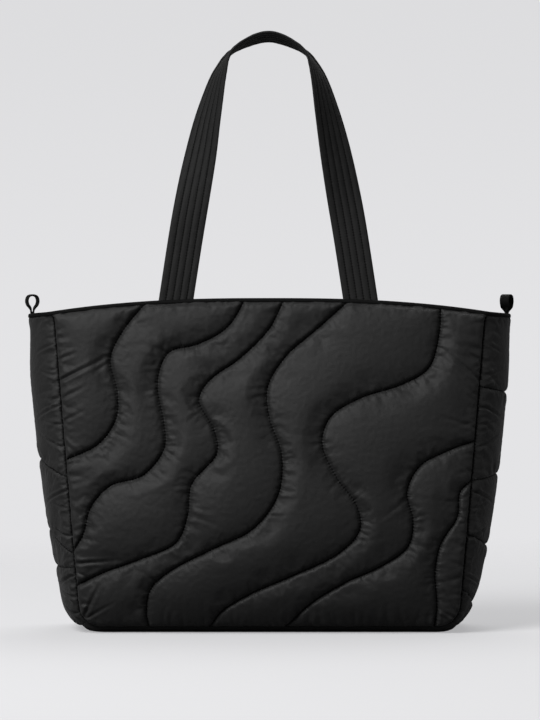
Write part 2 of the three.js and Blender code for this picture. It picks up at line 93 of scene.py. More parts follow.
# Bends of the panel's quilting lines from the upper to the lower end: (across, up)
PANEL_LINES = (
    ((-0.118, 0.334), (-0.146, 0.300), (-0.158, 0.273), (-0.151, 0.239), (-0.152, 0.214),
     (-0.169, 0.189), (-0.208, 0.170)),
    ((-0.022, 0.336), (-0.042, 0.304), (-0.072, 0.287), (-0.100, 0.279), (-0.111, 0.251),
     (-0.104, 0.205), (-0.104, 0.185), (-0.125, 0.158), (-0.158, 0.147), (-0.177, 0.126),
     (-0.185, 0.098), (-0.200, 0.075)),
    ((0.016, 0.336), (0.000, 0.303), (-0.030, 0.273), (-0.060, 0.251), (-0.070, 0.232),
     (-0.055, 0.203), (-0.052, 0.180), (-0.077, 0.149), (-0.081, 0.118), (-0.092, 0.092),
     (-0.125, 0.076), (-0.165, 0.061), (-0.197, 0.045)),
    ((0.084, 0.335), (0.048, 0.303), (0.016, 0.275), (-0.002, 0.244), (0.000, 0.214),
     (0.012, 0.178), (0.008, 0.138), (-0.017, 0.105), (-0.055, 0.086), (-0.097, 0.064),
     (-0.117, 0.046), (-0.122, 0.024), (-0.119, 0.002)),
    ((0.170, 0.332), (0.169, 0.300), (0.158, 0.264), (0.130, 0.247), (0.090, 0.234),
     (0.060, 0.215), (0.052, 0.190), (0.066, 0.156), (0.086, 0.128), (0.089, 0.104),
     (0.068, 0.081), (0.025, 0.060), (-0.020, 0.040), (-0.047, 0.023), (-0.062, 0.002)),
    ((0.209, 0.193), (0.175, 0.181), (0.148, 0.166), (0.136, 0.141), (0.142, 0.112),
     (0.137, 0.088), (0.112, 0.069), (0.075, 0.052), (0.040, 0.030), (0.012, 0.002)),
    ((0.204, 0.155), (0.189, 0.141), (0.186, 0.116), (0.170, 0.091), (0.164, 0.062),
     (0.166, 0.028), (0.163, 0.002)),
)

# Heights of the gussets' quilting lines: at the panel seams, at the gusset's middle
LEFT_LINES = ((0.156, 0.174), (0.080, 0.104), (0.066, 0.066))
RIGHT_LINES = ((0.245, 0.241), (0.152, 0.159), (0.099, 0.087), (0.044, 0.028))

# Half course of the front handle: out from the middle, up, front to back, turn in degrees
HANDLE_COURSE = (
    (0.0982, 0.2880, -0.0532, 0),
    (0.0922, 0.3280, -0.0456, 0),
    (0.0794, 0.4100, -0.0360, 4),
    (0.0682, 0.4700, -0.0300, 25),
    (0.0576, 0.5215, -0.0255, 48),
    (0.0478, 0.5580, -0.0220, 70),
    (0.0383, 0.5775, -0.0200, 90),
    (0.0235, 0.5880, -0.0190, 100),
    (0.0000, 0.5950, -0.0185, 105),
)
HANDLE_WIDTH = 0.034
HANDLE_THICK = 0.0032
HANDLE_CHANNELS = 5
HANDLE_SHIFT = -0.0012
BACK_SPREAD = 1.03
BACK_RISE = 0.0025

# Half outline of a side loop above the binding: half width, height
LOOP_OUTLINE = ((0.0018, 0.0), (0.0029, 0.0045), (0.0056, 0.0085), (0.0065, 0.0125),
                (0.0050, 0.0167), (0.0, 0.019))
LOOP_TAPE_WIDTH = 0.010
LOOP_TAPE = 0.0018
LEFT_LOOP_TURN = math.radians(17)
RIGHT_LOOP_TURN = math.radians(62)
LOOP_INSET = 0.0015
LOOP_ROOT = -0.002
LOOP_STEP = 0.0006
LOOP_ROUND, LOOP_ROUND_POINTS = 0.0006, 4
LOOP_TURN_HEIGHT = 0.008

# Points with which outlines are worked out before they are spaced evenly
PANEL_CORNER_POINTS, PANEL_SIDE_POINTS, PANEL_EDGE_POINTS = 40, 200, 300
STRIP_CORNER_POINTS, STRIP_SIDE_POINTS, STRIP_EDGE_POINTS = 60, 300, 400
STRIP_END_POINTS, LEVEL_POINTS, BEND_POINTS = 120, 61, 24

# Meshes: half the room for a strip, scatter of the inner points and their least distance from
# seams as shares of the step, distances at which points are one, and the lining's step
STRIP_SPAN = 0.075
SCATTER = 0.22
SEAM_CLEARANCE = 0.6
SAME_POINT, SAME_LINING_POINT = 1e-7, 1e-9
LINING_STEP = 0.007
BASE_COARSENESS = 1.4
ON_WALL = 0.0004

# Seeds of the pieces; each also uses the next number
SEEDS = {"panels": 7, "left_gusset": 21, "right_gusset": 31, "base": 41}

# Gussets: rise of their lines against the padding at the panel seams, fullness at the mouth and, on
# the left and the right, at the foot, and where the full padding begins
LINE_RISE = 0.72
MOUTH_FULLNESS, MOUTH_FADE = 0.2, 0.07
FOOT_FULLNESS = {-1: 1.4, 1: 0.25}
FOOT_START, FOOT_FADE = 0.008, 0.05

# Folds of the strip begin above the floor, from the first height on, over the second
STANDING = (0.005, 0.012)

# Long folds of the gussets: heights at the panel seam and at the end, share of the half width
# they cross, and depth of each
GUSSET_FOLDS = (
    (0.288, 0.279, 0.45, 0.0022), (0.255, 0.265, 0.45, 0.0024), (0.226, 0.214, 0.60, 0.0034),
    (0.207, 0.214, 0.45, 0.0022), (0.184, 0.201, 0.55, 0.0032), (0.142, 0.128, 0.65, 0.0034),
    (0.124, 0.133, 0.45, 0.0024), (0.096, 0.111, 0.60, 0.0032), (0.058, 0.046, 0.60, 0.0030),
    (0.036, 0.044, 0.50, 0.0026), (0.020, 0.032, 0.55, 0.0030),
)
GUSSET_FOLD_WIDTH = 0.0016
BACK_FOLD_LIFT = 0.006

# Padding beside a seam: share of the steep lip, and reaches of lip and dome
LIP_SHARE = 0.40
LIP_REACH = 0.20
DOME_REACH = 1.9

# Ridges between the lines are smoothed away from this distance on, over EASE_REACH
EASE_START = 0.003
EASE_REACH = 0.008
EASE_PASSES = 45

# Walls are drawn in gently at the side seams by SINK, and sharply by SEAM_GROOVE; GROOVE_REACH is
# the distance over which a groove fades to a third, and SINK_FADE the height below the mouth over
# which the walls come in
SINK = 0.0008
SINK_REACH = 0.007
SINK_FADE = 0.012
SEAM_GROOVE = 0.0018
GROOVE_REACH = 0.0010

# Long folds of the panels: start and end (across, up), half width and depth of each
PANEL_FOLDS = (
    ((-0.2125, 0.271), (-0.186, 0.281), 0.0020, 0.0022),
    ((-0.2115, 0.250), (-0.150, 0.279), 0.0022, 0.0030),
    ((-0.2105, 0.231), (-0.178, 0.248), 0.0020, 0.0022),
    ((-0.2085, 0.209), (-0.180, 0.223), 0.0018, 0.0020),
    ((0.2125, 0.268), (0.180, 0.292), 0.0020, 0.0022),
    ((0.2115, 0.250), (0.162, 0.290), 0.0022, 0.0030),
    ((0.2105, 0.232), (0.178, 0.262), 0.0020, 0.0018),
    ((0.2065, 0.204), (0.160, 0.219), 0.0022, 0.0018),
    ((0.2025, 0.158), (0.180, 0.178), 0.0020, 0.0020),
    ((-0.1955, 0.070), (-0.140, 0.074), 0.0018, 0.0030),
    ((-0.1945, 0.062), (-0.176, 0.056), 0.0015, 0.0024),
    ((-0.186, 0.013), (-0.166, 0.054), 0.0020, 0.0034),
    ((-0.186, 0.013), (-0.150, 0.034), 0.0018, 0.0024),
    ((-0.184, 0.012), (-0.156, 0.005), 0.0015, 0.0028),
    ((0.188, 0.018), (0.170, 0.048), 0.0018, 0.0026),
    ((0.186, 0.014), (0.162, 0.028), 0.0016, 0.0020),
    ((-0.106, 0.277), (-0.102, 0.306), 0.0030, 0.0012),
    ((-0.112, 0.270), (-0.118, 0.298), 0.0030, 0.0010),
)

SIDE_SLOPE = (SEAM_HALF_TOP - SEAM_HALF_LOW) / (RIM_HEIGHT - SEAM_LOW_HEIGHT)
SIDE_LEAN = math.atan(SIDE_SLOPE)
CORNER_Z = BASE_SEAM + CORNER_RADIUS
CORNER_X = (SEAM_HALF_LOW + SIDE_SLOPE * (CORNER_Z - SEAM_LOW_HEIGHT)
            - CORNER_RADIUS / math.cos(SIDE_LEAN))


class BagPadding(PropertyGroup):
    """Padding and shell cloth."""

    panel_puff: FloatProperty(
        name="Panel puff", description="How far the panels rise between their lines",
        default=0.0092, min=0.0, unit="LENGTH")
    panel_reach: FloatProperty(
        name="Panel reach", description="Distance from a line at which the panels are full",
        default=0.015, min=0.001, unit="LENGTH")
    gusset_puff: FloatProperty(
        name="Gusset puff", description="How far the gussets rise between their lines",
        default=0.0070, min=0.0, unit="LENGTH")
    gusset_reach: FloatProperty(
        name="Gusset reach", description="Distance from a line at which the gussets are full",
        default=0.014, min=0.001, unit="LENGTH")
    top_reach: FloatProperty(
        name="Reach at the mouth", description="Distance below the binding at which the walls are full",
        default=0.008, min=0.001, unit="LENGTH")
    slack: FloatProperty(
        name="Slack at seams", description="Spare cloth gathered along the seams",
        default=0.03, min=0.0, max=0.3, subtype="FACTOR")
    slack_reach: FloatProperty(
        name="Slack reach", description="Distance from a seam at which the shell is taut again",
        default=0.020, min=0.001, unit="LENGTH")
    pressure: FloatProperty(
        name="Fill pressure", description="Push of the wadding on the shell", default=5.0, min=0.0)
    bending: FloatProperty(
        name="Bending", description="Stiffness of the shell in bending", default=40.0, min=0.0)
    steps: IntProperty(
        name="Settling steps", description="Frames that the cloth takes to settle",
        default=20, min=1, max=60)
    cap: FloatProperty(
        name="Largest move", description="How far a point may move while it settles",
        default=0.007, min=0.0, unit="LENGTH")
    mesh_step: FloatProperty(
        name="Mesh step", description="Edge length of the cloth before it is refined",
        default=0.0027, min=0.002, unit="LENGTH")
    groove: FloatProperty(
        name="Groove", description="Depth to which the thread pulls the shell in", default=0.0019,
        min=0.0, unit="LENGTH")
    pucker: FloatProperty(
        name="Puckers", description="Height of the short folds that run away from the seams",
        default=0.0011, min=0.0, unit="LENGTH")
    fill: FloatProperty(
        name="Fill", description="How full the padding is", default=0.55, min=0.0, max=1.0,
        subtype="FACTOR")


class BagStitching(PropertyGroup):
    """Thread and stitches."""

    thread: FloatProperty(
        name="Thread", description="Radius of the sewing thread", default=0.00027, min=0.0001,
        unit="LENGTH")
    quilt_pitch: FloatProperty(
        name="Quilting pitch", description="Distance between quilting stitches", default=0.0031,
        min=0.001, unit="LENGTH")
    tape_pitch: FloatProperty(
        name="Binding pitch", description="Distance between stitches on the binding",
        default=0.0024, min=0.001, unit="LENGTH")
    strap_pitch: FloatProperty(
        name="Strap pitch", description="Distance between stitches on the handles",
        default=0.0028, min=0.001, unit="LENGTH")
    share: FloatProperty(
        name="Stitch share", description="Length of a stitch as a share of its pitch",
        default=0.72, min=0.1, max=1.0, subtype="FACTOR")


class BagColours(PropertyGroup):
    """Colours of the cloth, tape, thread and stage."""

    shell: FloatVectorProperty(
        name="Shell", description="Colour of the padded walls", subtype="COLOR",
        default=(0.0110, 0.0110, 0.0110), min=0.0, max=1.0)
    lining: FloatVectorProperty(
        name="Lining", description="Colour of the inside", subtype="COLOR",
        default=(0.0060, 0.0060, 0.0060), min=0.0, max=1.0)
    strap: FloatVectorProperty(
        name="Handles", description="Colour of the handles", subtype="COLOR",
        default=(0.0080, 0.0080, 0.0080), min=0.0, max=1.0)
    tape: FloatVectorProperty(
        name="Tape", description="Colour of the binding and loops", subtype="COLOR",
        default=(0.0035, 0.0035, 0.0035), min=0.0, max=1.0)
    thread: FloatVectorProperty(
        name="Thread", description="Colour of the stitches", subtype="COLOR",
        default=(0.0040, 0.0040, 0.0040), min=0.0, max=1.0)
    floor: FloatVectorProperty(
        name="Floor", description="Colour of the floor and backdrop", subtype="COLOR",
        default=(0.57, 0.57, 0.58), min=0.0, max=1.0)


class BagStage(PropertyGroup):
    """Camera and light."""

    key_power: FloatProperty(
        name="Key light", description="Power of the large light at the upper left",
        default=146.0, min=0.0, unit="POWER")
    top_power: FloatProperty(
        name="Top light", description="Power of the soft light above the back", default=42.0,
        min=0.0, unit="POWER")
    sky: FloatProperty(
        name="Room light", description="Strength of the even light from all sides", default=0.24,
        min=0.0)
    distance: FloatProperty(
        name="Camera distance", description="Camera to the bag's middle", default=4.0, min=1.0,
        unit="LENGTH")
    height: FloatProperty(
        name="Camera height", description="Height of the camera above the floor", default=0.34,
        unit="LENGTH")


def table_curve(column):
    """Smooth function of height through one column of SECTIONS."""
    at, value = SECTIONS[:, 0], SECTIONS[:, column]
    secant = np.diff(value) / np.diff(at)
    slope = np.concatenate(([secant[0]], (secant[1:] + secant[:-1]) / 2, [secant[-1]]))

    def curve(z):
        z = np.clip(z, at[0], at[-1])
        k = np.clip(np.searchsorted(at, z, side="right") - 1, 0, len(at) - 2)
        span = at[k + 1] - at[k]
        t = (z - at[k]) / span
        blend = t * t * (3 - 2 * t)
        lean = t * (1 - t) ** 2 * slope[k] - t * t * (1 - t) * slope[k + 1]
        return (1 - blend) * value[k] + blend * value[k + 1] + span * lean

    return curve


seam_depth, belly, swell = (table_curve(column) for column in (1, 2, 3))


def smooth(t):
    t = np.clip(t, 0, 1)
    return t * t * (3 - 2 * t)


def unit(vectors):
    return vectors / np.linalg.norm(vectors, axis=1)[:, None]


def wall_top(x):
    drop = RIM_DROP * (np.abs(x) / RIM_DROP_REACH) ** RIM_DROP_POWER
    return RIM_HEIGHT - drop - TAPE - CLEAR


SEAM_TOP = float(wall_top(SEAM_HALF_TOP))


def seam_half(z):
    """Distance from the bag's middle to the side seam."""
    z = np.asarray(z, float)
    below = CORNER_Z - z
    side = SEAM_HALF_LOW + SIDE_SLOPE * (z - SEAM_LOW_HEIGHT)
    arc = CORNER_X + np.sqrt(np.maximum(0, CORNER_RADIUS**2 - below**2))
    return np.where(below < CORNER_RADIUS * math.sin(SIDE_LEAN), side, arc)


def panel_depth(x, z):
    share = np.minimum(np.abs(x) / seam_half(z), 1)
    return seam_depth(z) + belly(z) * (1 - share**2)


def puff(distance, reach, height, lip_share=LIP_SHARE):
    """Rise of padding at a distance from a seam: a steep lip, then a gentle dome."""
    distance = np.maximum(distance, 0)
    lip = 1 - np.exp(-distance / (LIP_REACH * reach))
    dome = 1 - (1 - np.minimum(distance / (DOME_REACH * reach), 1)) ** 2
    return height * (lip_share * lip + (1 - lip_share) * dome)


def lengths(line):
    steps = np.linalg.norm(np.diff(line, axis=0), axis=1)
    return np.concatenate(([0], np.cumsum(steps)))


def resample(line, step, closed=False):
    """The same line with evenly spaced points."""
    if closed:
        line = np.vstack([line, line[:1]])
    along = lengths(line)
    count = max(2, round(along[-1] / step))
    at = np.linspace(0, along[-1], count + 1)
    if closed:
        at = at[:-1]
    return np.column_stack([np.interp(at, along, column) for column in line.T])


def curve_through(bends, step):
    """Evenly spaced points on a centripetal Catmull-Rom curve through the bends."""
    p = np.asarray(bends, float)
    p = np.vstack([2 * p[0] - p[1], p, 2 * p[-1] - p[-2]])
    runs = []
    for four in zip(p, p[1:], p[2:], p[3:]):
        gaps = [math.sqrt(np.linalg.norm(b - a)) for a, b in zip(four, four[1:])]
        t = np.concatenate(([0], np.cumsum(gaps)))
        s = np.linspace(t[1], t[2], BEND_POINTS, endpoint=False)[:, None]

        def mix(a, b, i, j):
            return ((t[j] - s) * a + (s - t[i]) * b) / (t[j] - t[i])

        low = mix(mix(four[0], four[1], 0, 1), mix(four[1], four[2], 1, 2), 0, 2)
        high = mix(mix(four[1], four[2], 1, 2), mix(four[2], four[3], 2, 3), 1, 3)
        runs.append(mix(low, high, 1, 2))
    return resample(np.vstack([*runs, p[-2:-1]]), step)


def nearest_on(points, line):
    """Distance of each point to a line, and the nearest place as an index with its fraction."""
    best = np.full(len(points), np.inf)
    where = np.zeros(len(points))
    for k, (a, b) in enumerate(zip(line[:-1], line[1:])):
        run = b - a
        t = np.clip(((points - a) @ run) / (run @ run), 0, 1)
        gap = ((points - a - t[:, None] * run) ** 2).sum(axis=1)
        closer = gap < best
        best[closer] = gap[closer]
        where[closer] = k + t[closer]
    return np.sqrt(best), where


def sunk(gap, z):
    """How far a wall is drawn in near its side seams, below the binding."""
    return SINK * (1 - smooth(gap / SINK_REACH)) * smooth((SEAM_TOP - z) / SINK_FADE)


class PanelChart:
    """Layout of a panel: chart points are (across, up) in the front view."""

    def __init__(self, step):
        self.lines = [curve_through(bends, step) for bends in PANEL_LINES]

    def side(self):
        """Right side seam from the end of the straight foot up to the mouth."""
        turn = np.linspace(0, math.pi / 2 - SIDE_LEAN, PANEL_CORNER_POINTS)
        corner = CORNER_Z - CORNER_RADIUS * np.cos(turn)
        z = np.concatenate([corner, np.linspace(corner[-1], SEAM_TOP, PANEL_SIDE_POINTS)[1:]])
        return np.column_stack([seam_half(z), z])

    def border(self, step):
        right = self.side()
        x = np.linspace(SEAM_HALF_TOP, -SEAM_HALF_TOP, PANEL_EDGE_POINTS)[1:-1]
        top = np.column_stack([x, wall_top(x)])
        x = np.linspace(-CORNER_X, CORNER_X, PANEL_EDGE_POINTS)[1:-1]
        foot = np.column_stack([x, np.full(len(x), BASE_SEAM)])
        return resample(np.vstack([right, top, right[::-1] * (-1, 1), foot]), step, closed=True)

    def edges(self):
        right = self.side()
        return [np.vstack([right[::-1] * (-1, 1), right])]

    def span(self):
        return (-SEAM_HALF_TOP, SEAM_HALF_TOP), (BASE_SEAM, RIM_HEIGHT)

    def inside_seams(self, p):
        """Distance to the side and foot seams, below zero outside them."""
        side = seam_half(np.maximum(p[:, 1], BASE_SEAM)) - np.abs(p[:, 0])
        return np.minimum(side, p[:, 1] - BASE_SEAM)

    def inside(self, p):
        """Distance to the outline, below zero outside it."""
        return np.minimum(self.inside_seams(p), wall_top(p[:, 0]) - p[:, 1])

    def pressed(self, p):
        return wall_top(p[:, 0]) - HEM - p[:, 1]

    def line_rise(self, p):
        return np.zeros(len(p))

    def place(self, p, rise=0.0, depth_in=0.0):
        if depth_in:
            p = self.drawn_in(p, depth_in)
        y = depth_in - panel_depth(p[:, 0], p[:, 1]) - rise
        if depth_in:
            return np.column_stack([p[:, 0], y, p[:, 1]])
        inward = sunk(np.clip(self.inside_seams(p), 0, None), p[:, 1])
        return np.column_stack([p[:, 0], y, p[:, 1]]) + self.inward(p) * inward[:, None]

    def inward(self, p):
        """Direction in which the seams are drawn in."""
        down = np.clip((CORNER_Z - p[:, 1]) / CORNER_RADIUS, math.sin(SIDE_LEAN), 1)
        down = np.where(np.abs(p[:, 0]) < CORNER_X, 1.0, down)
        across = np.sqrt(1 - down**2) * np.sign(p[:, 0])
        return np.column_stack([-across, np.ones(len(p)), down])

    def drawn_in(self, p, depth_in):
        """Chart points moved in so that the lining meets its neighbours on a mitre."""
        inset = MITRE * depth_in
        share = 1 - inset / SEAM_HALF_TOP
        foot = BASE_SEAM + inset
        return np.column_stack([p[:, 0] * share, foot + (p[:, 1] - BASE_SEAM)
                                * (SEAM_TOP - foot) / (SEAM_TOP - BASE_SEAM)])

    def outward(self, p):
        return np.tile((0.0, -1.0, 0.0), (len(p), 1))

    def fullness(self, p):
        return np.ones(len(p))

    def drawn(self, p):
        return np.ones(len(p))

    # Long folds, size of the folds at the edges, share of the spare cloth, share of the lip at the
    # edges, share of the grooves' depth, and mesh step as a share of the one set
    folds = PANEL_FOLDS
    creasing = 2.0
    looseness = 1.0
    edge_lip = 0.3
    groove_share = 1.0
    fineness = 1.0


class StripChart:
    """Layout of the strip that joins the panels: chart points are (front to back, along).

    `along` runs on the seam line from the middle of the base up the right side; the left
    side has it below zero. `side` is 1 or -1 for a gusset and 0 for the base.
    """

    def __init__(self, side, levels=()):
        turn = np.linspace(0, math.pi / 2 - SIDE_LEAN, STRIP_CORNER_POINTS)
        arc = CORNER_Z - CORNER_RADIUS * np.cos(turn)
        z = np.concatenate([[BASE_SEAM], arc, np.linspace(arc[-1], SEAM_TOP, STRIP_SIDE_POINTS)[1:]])
        x = np.concatenate([[0.0, CORNER_X], seam_half(z[2:])])
        self.x, self.z = x, z
        self.along = lengths(np.column_stack([x, z]))
        self.side = side
        foot, self.top = self.at_height(GUSSET_FOOT), self.along[-1]
        self.low, self.high = {1: (foot, self.top), -1: (-self.top, -foot), 0: (-foot, foot)}[side]
        across = np.linspace(-1, 1, LEVEL_POINTS)
        self.lines = []
        for seam, middle in levels:
            level = middle + (seam - middle) * across**2
            run = np.column_stack([across * seam_depth(level), side * self.at_height(level)])
            self.lines.append(run)

    def at_height(self, z):
        return np.interp(z, self.z[1:], self.along[1:])

    def spot(self, along):
        """Place and outward direction on the seam line."""
        reach = np.abs(along)
        x, z = np.interp(reach, self.along, self.x), np.interp(reach, self.along, self.z)
        down = np.clip((CORNER_Z - z) / CORNER_RADIUS, math.sin(SIDE_LEAN), 1)
        return x, z, np.sqrt(1 - down**2), -down

    def border(self, step):
        front, back = self.edges()
        u = np.linspace(-1, 1, STRIP_END_POINTS)[1:-1]
        top = np.column_stack([u * back[-1, 0], np.full(len(u), self.high)])
        foot = np.column_stack([u[::-1] * back[0, 0], np.full(len(u), self.low)])
        return resample(np.vstack([front, top, back[::-1], foot]), step, closed=True)

    def edges(self):
        v = np.linspace(self.low, self.high, STRIP_EDGE_POINTS)
        depth = seam_depth(self.spot(v)[1])
        return [np.column_stack([side * depth, v]) for side in (-1, 1)]

    def span(self):
        return (-STRIP_SPAN, STRIP_SPAN), (self.low, self.high)

    def inside_seams(self, p):
        side = seam_depth(self.spot(p[:, 1])[1]) - np.abs(p[:, 0])
        ends = np.stack([p[:, 1] - self.low, self.high - p[:, 1]])
        lower = {1: ends[0], -1: ends[1], 0: ends.min(axis=0)}[self.side]
        return np.minimum(side, lower)

    def inside(self, p):
        return np.minimum(self.inside_seams(p), np.minimum(p[:, 1] - self.low, self.high - p[:, 1]))

    def pressed(self, p):
        return self.top - HEM - np.abs(p[:, 1])

    def line_rise(self, p):
        settings = bpy.context.scene.bag_padding
        edge = seam_depth(self.spot(p[:, 1])[1]) - np.abs(p[:, 0])
        return LINE_RISE * puff(edge, settings.gusset_reach, settings.gusset_puff, self.edge_lip)

    def place(self, p, rise=0.0, depth_in=0.0):
        x, z, nx, nz = self.spot(p[:, 1])
        depth = seam_depth(z)
        slope = 2 * swell(z) / depth
        fore = slope / np.hypot(1, slope)
        share = np.clip(p[:, 0] / depth, -1, 1) * (1 - depth_in * (1 - fore) / depth)
        lean = np.hypot(1, slope * share)
        out = swell(z) * (1 - share**2) + rise - depth_in / lean
        y = share * depth - depth_in * slope * share / lean
        side = self.half(p)
        spots = np.column_stack([side * (x + nx * out), y, z + nz * out])
        if not depth_in:
            gap = np.clip(depth - np.abs(p[:, 0]), 0, None)
            spots = spots + self.inward(p) * sunk(gap, z)[:, None]
        spots[:, 2] = np.maximum(spots[:, 2], depth_in)
        return spots

    def inward(self, p):
        """Direction in which the seams are drawn in."""
        return -self.outward(p) - np.column_stack([0 * p[:, 0], np.sign(p[:, 0]), 0 * p[:, 0]])

    def outward(self, p):
        _, _, nx, nz = self.spot(p[:, 1])
        return np.column_stack([self.half(p) * nx, np.zeros(len(p)), nz])

    def half(self, p):
        """1 on the right half of the bag and -1 on the left."""
        return np.where(p[:, 1] < 0, -1.0, 1.0)

    def fullness(self, p):
        """The gussets are flatter towards the mouth, and fuller at the foot on the left alone."""
        mouth = smooth((self.top - np.abs(p[:, 1])) / MOUTH_FADE)
        foot = smooth((self.spot(p[:, 1])[1] - FOOT_START) / FOOT_FADE)
        mouth_share = MOUTH_FULLNESS + (1 - MOUTH_FULLNESS) * mouth
        at_foot = FOOT_FULLNESS[self.side]
        return mouth_share * (at_foot + (1 - at_foot) * foot)

    def drawn(self, p):
        """Share of the folds and grooves; none where the bag stands."""
        start, fade = STANDING
        return smooth((self.spot(p[:, 1])[1] - start) / fade)

    @property
    def folds(self):
        """Folds that run in from both panel seams, a little higher at the back."""
        if not self.side:
            return ()
        made = []
        for seam, end, share, depth in GUSSET_FOLDS:
            for face, lift in ((-1, 0.0), (1, BACK_FOLD_LIFT)):
                z = np.array([seam, end]) + lift
                u = face * seam_depth(z) * (1, 1 - share)
                v = self.side * self.at_height(z)
                made.append(((u[0], v[0]), (u[1], v[1]), GUSSET_FOLD_WIDTH, depth))
        return tuple(made)

    # As in PanelChart
    creasing = 2.2
    looseness = 2.2
    edge_lip = 0.04
    groove_share = 0.45
    fineness = 0.76


def clipped(line, chart):
    """The stretch of a quilting line that lies on its wall, with one point past each end."""
    on = np.flatnonzero(chart.inside(line) > ON_WALL)
    return line[max(on[0] - 1, 0):on[-1] + 2]


def ring_edges(count):
    return [(k, (k + 1) % count) for k in range(count)]


def tile(chart, step, lines, seed):
    """Triangles over a chart with the lines as edges: points, faces and sewn edges."""
    rng = np.random.default_rng(seed)
    border = chart.border(step)
    points = [border]
    edges = ring_edges(len(border))
    count = len(border)
    for line in lines:
        edges += [(count + k, count + k + 1) for k in range(len(line) - 1)]
        points.append(line)
        count += len(line)
    (left, right), (low, high) = chart.span()
    across = np.arange(left, right + step, step)
    rows = np.arange(low, high, step * math.sqrt(3) / 2)
    grid = np.vstack([
        np.column_stack([across + step / 2 * (j % 2), np.full(len(across), z)])
        for j, z in enumerate(rows)
    ])
    grid += rng.uniform(-SCATTER, SCATTER, grid.shape) * step
    grid = grid[chart.inside(grid) > SEAM_CLEARANCE * step]
    for line in lines:
        grid = grid[nearest_on(grid, line)[0] > SEAM_CLEARANCE * step]
    points = np.vstack([*points, grid])
    made = delaunay_2d_cdt([Vector(p) for p in points], edges, [], 0, SAME_POINT)
    points = np.array([tuple(p) for p in made[0]])
    faces = np.array([face for face in made[2] if len(face) == 3])
    faces = faces[chart.inside(points[faces].mean(axis=1)) > 0]
    a, b, c = (points[faces[:, k]] for k in range(3))
    turn = (b - a)[:, 0] * (c - a)[:, 1] - (b - a)[:, 1] * (c - a)[:, 0]
    faces[turn < 0] = faces[turn < 0][:, ::-1]
    sewn = np.array([edge for edge, source in zip(made[1], made[4]) if source])
    used = np.unique(faces)
    number = np.full(len(points), -1)
    number[used] = np.arange(len(used))
    sewn = number[sewn]
    return points[used], number[faces], sewn[(sewn >= 0).all(axis=1)]


def face_sides(faces):
    return np.vstack([faces[:, [0, 1]], faces[:, [1, 2]], faces[:, [2, 0]]])


def edge_table(faces):
    """Edges of a triangle mesh, the edge of each face side and the faces on each edge."""
    sides = np.sort(face_sides(faces), axis=1)
    edges, number = np.unique(sides, axis=0, return_inverse=True)
    number = number.ravel()
    return edges, number, np.bincount(number, minlength=len(edges))


def refine(points, faces, sewn):
    """One round of Loop subdivision in which open and sewn edges keep their line."""
    edges, number, shared = edge_table(faces)
    count = len(points)
    keys = set(map(tuple, np.sort(sewn, axis=1).tolist()))
    sharp = (shared == 1) | np.array([tuple(edge) in keys for edge in edges.tolist()])
    opposite = np.concatenate([faces[:, 2], faces[:, 0], faces[:, 1]])
    wings = np.zeros((len(edges), points.shape[1]))
    np.add.at(wings, number, points[opposite])
    ends = points[edges[:, 0]] + points[edges[:, 1]]
    middles = np.where(sharp[:, None], ends / 2, ends * 3 / 8 + wings / 8)

    def around(chosen):
        total = np.zeros_like(points)
        np.add.at(total, chosen[:, 0], points[chosen[:, 1]])
        np.add.at(total, chosen[:, 1], points[chosen[:, 0]])
        return total, np.bincount(chosen.ravel(), minlength=count)

    total, valence = around(edges)
    valence = np.maximum(valence, 3)
    beta = (5 / 8 - (3 / 8 + np.cos(2 * np.pi / valence) / 4) ** 2) / valence
    settled = points * (1 - valence * beta)[:, None] + total * beta[:, None]
    along, links = around(edges[sharp])
    on_line = (links == 2)[:, None]
    settled = np.where(on_line, points * 3 / 4 + along / 8, settled)
    settled = np.where(((links > 0) & (links != 2))[:, None], points, settled)
    e0, e1, e2 = (count + part for part in np.split(number, 3))
    a, b, c = faces.T
    parts = [(a, e0, e2), (e0, b, e1), (e2, e1, c), (e0, e1, e2)]
    halves = np.flatnonzero(sharp)
    sewn = np.vstack([np.column_stack([edges[halves, k], count + halves]) for k in (0, 1)])
    return np.vstack([settled, middles]), np.vstack([np.column_stack(p) for p in parts]), sewn


# The shell in the cloth simulation, and steps between its slackest and its tautest points
SHELL_CLOTH = {
    "quality": 5, "mass": 0.15, "tension_stiffness": 15, "compression_stiffness": 15,
    "shear_stiffness": 5, "tension_damping": 5, "compression_damping": 5, "shear_damping": 5,
    "shrink_max": 0.0, "use_pressure": True,
}
SLACK_LEVELS = 40


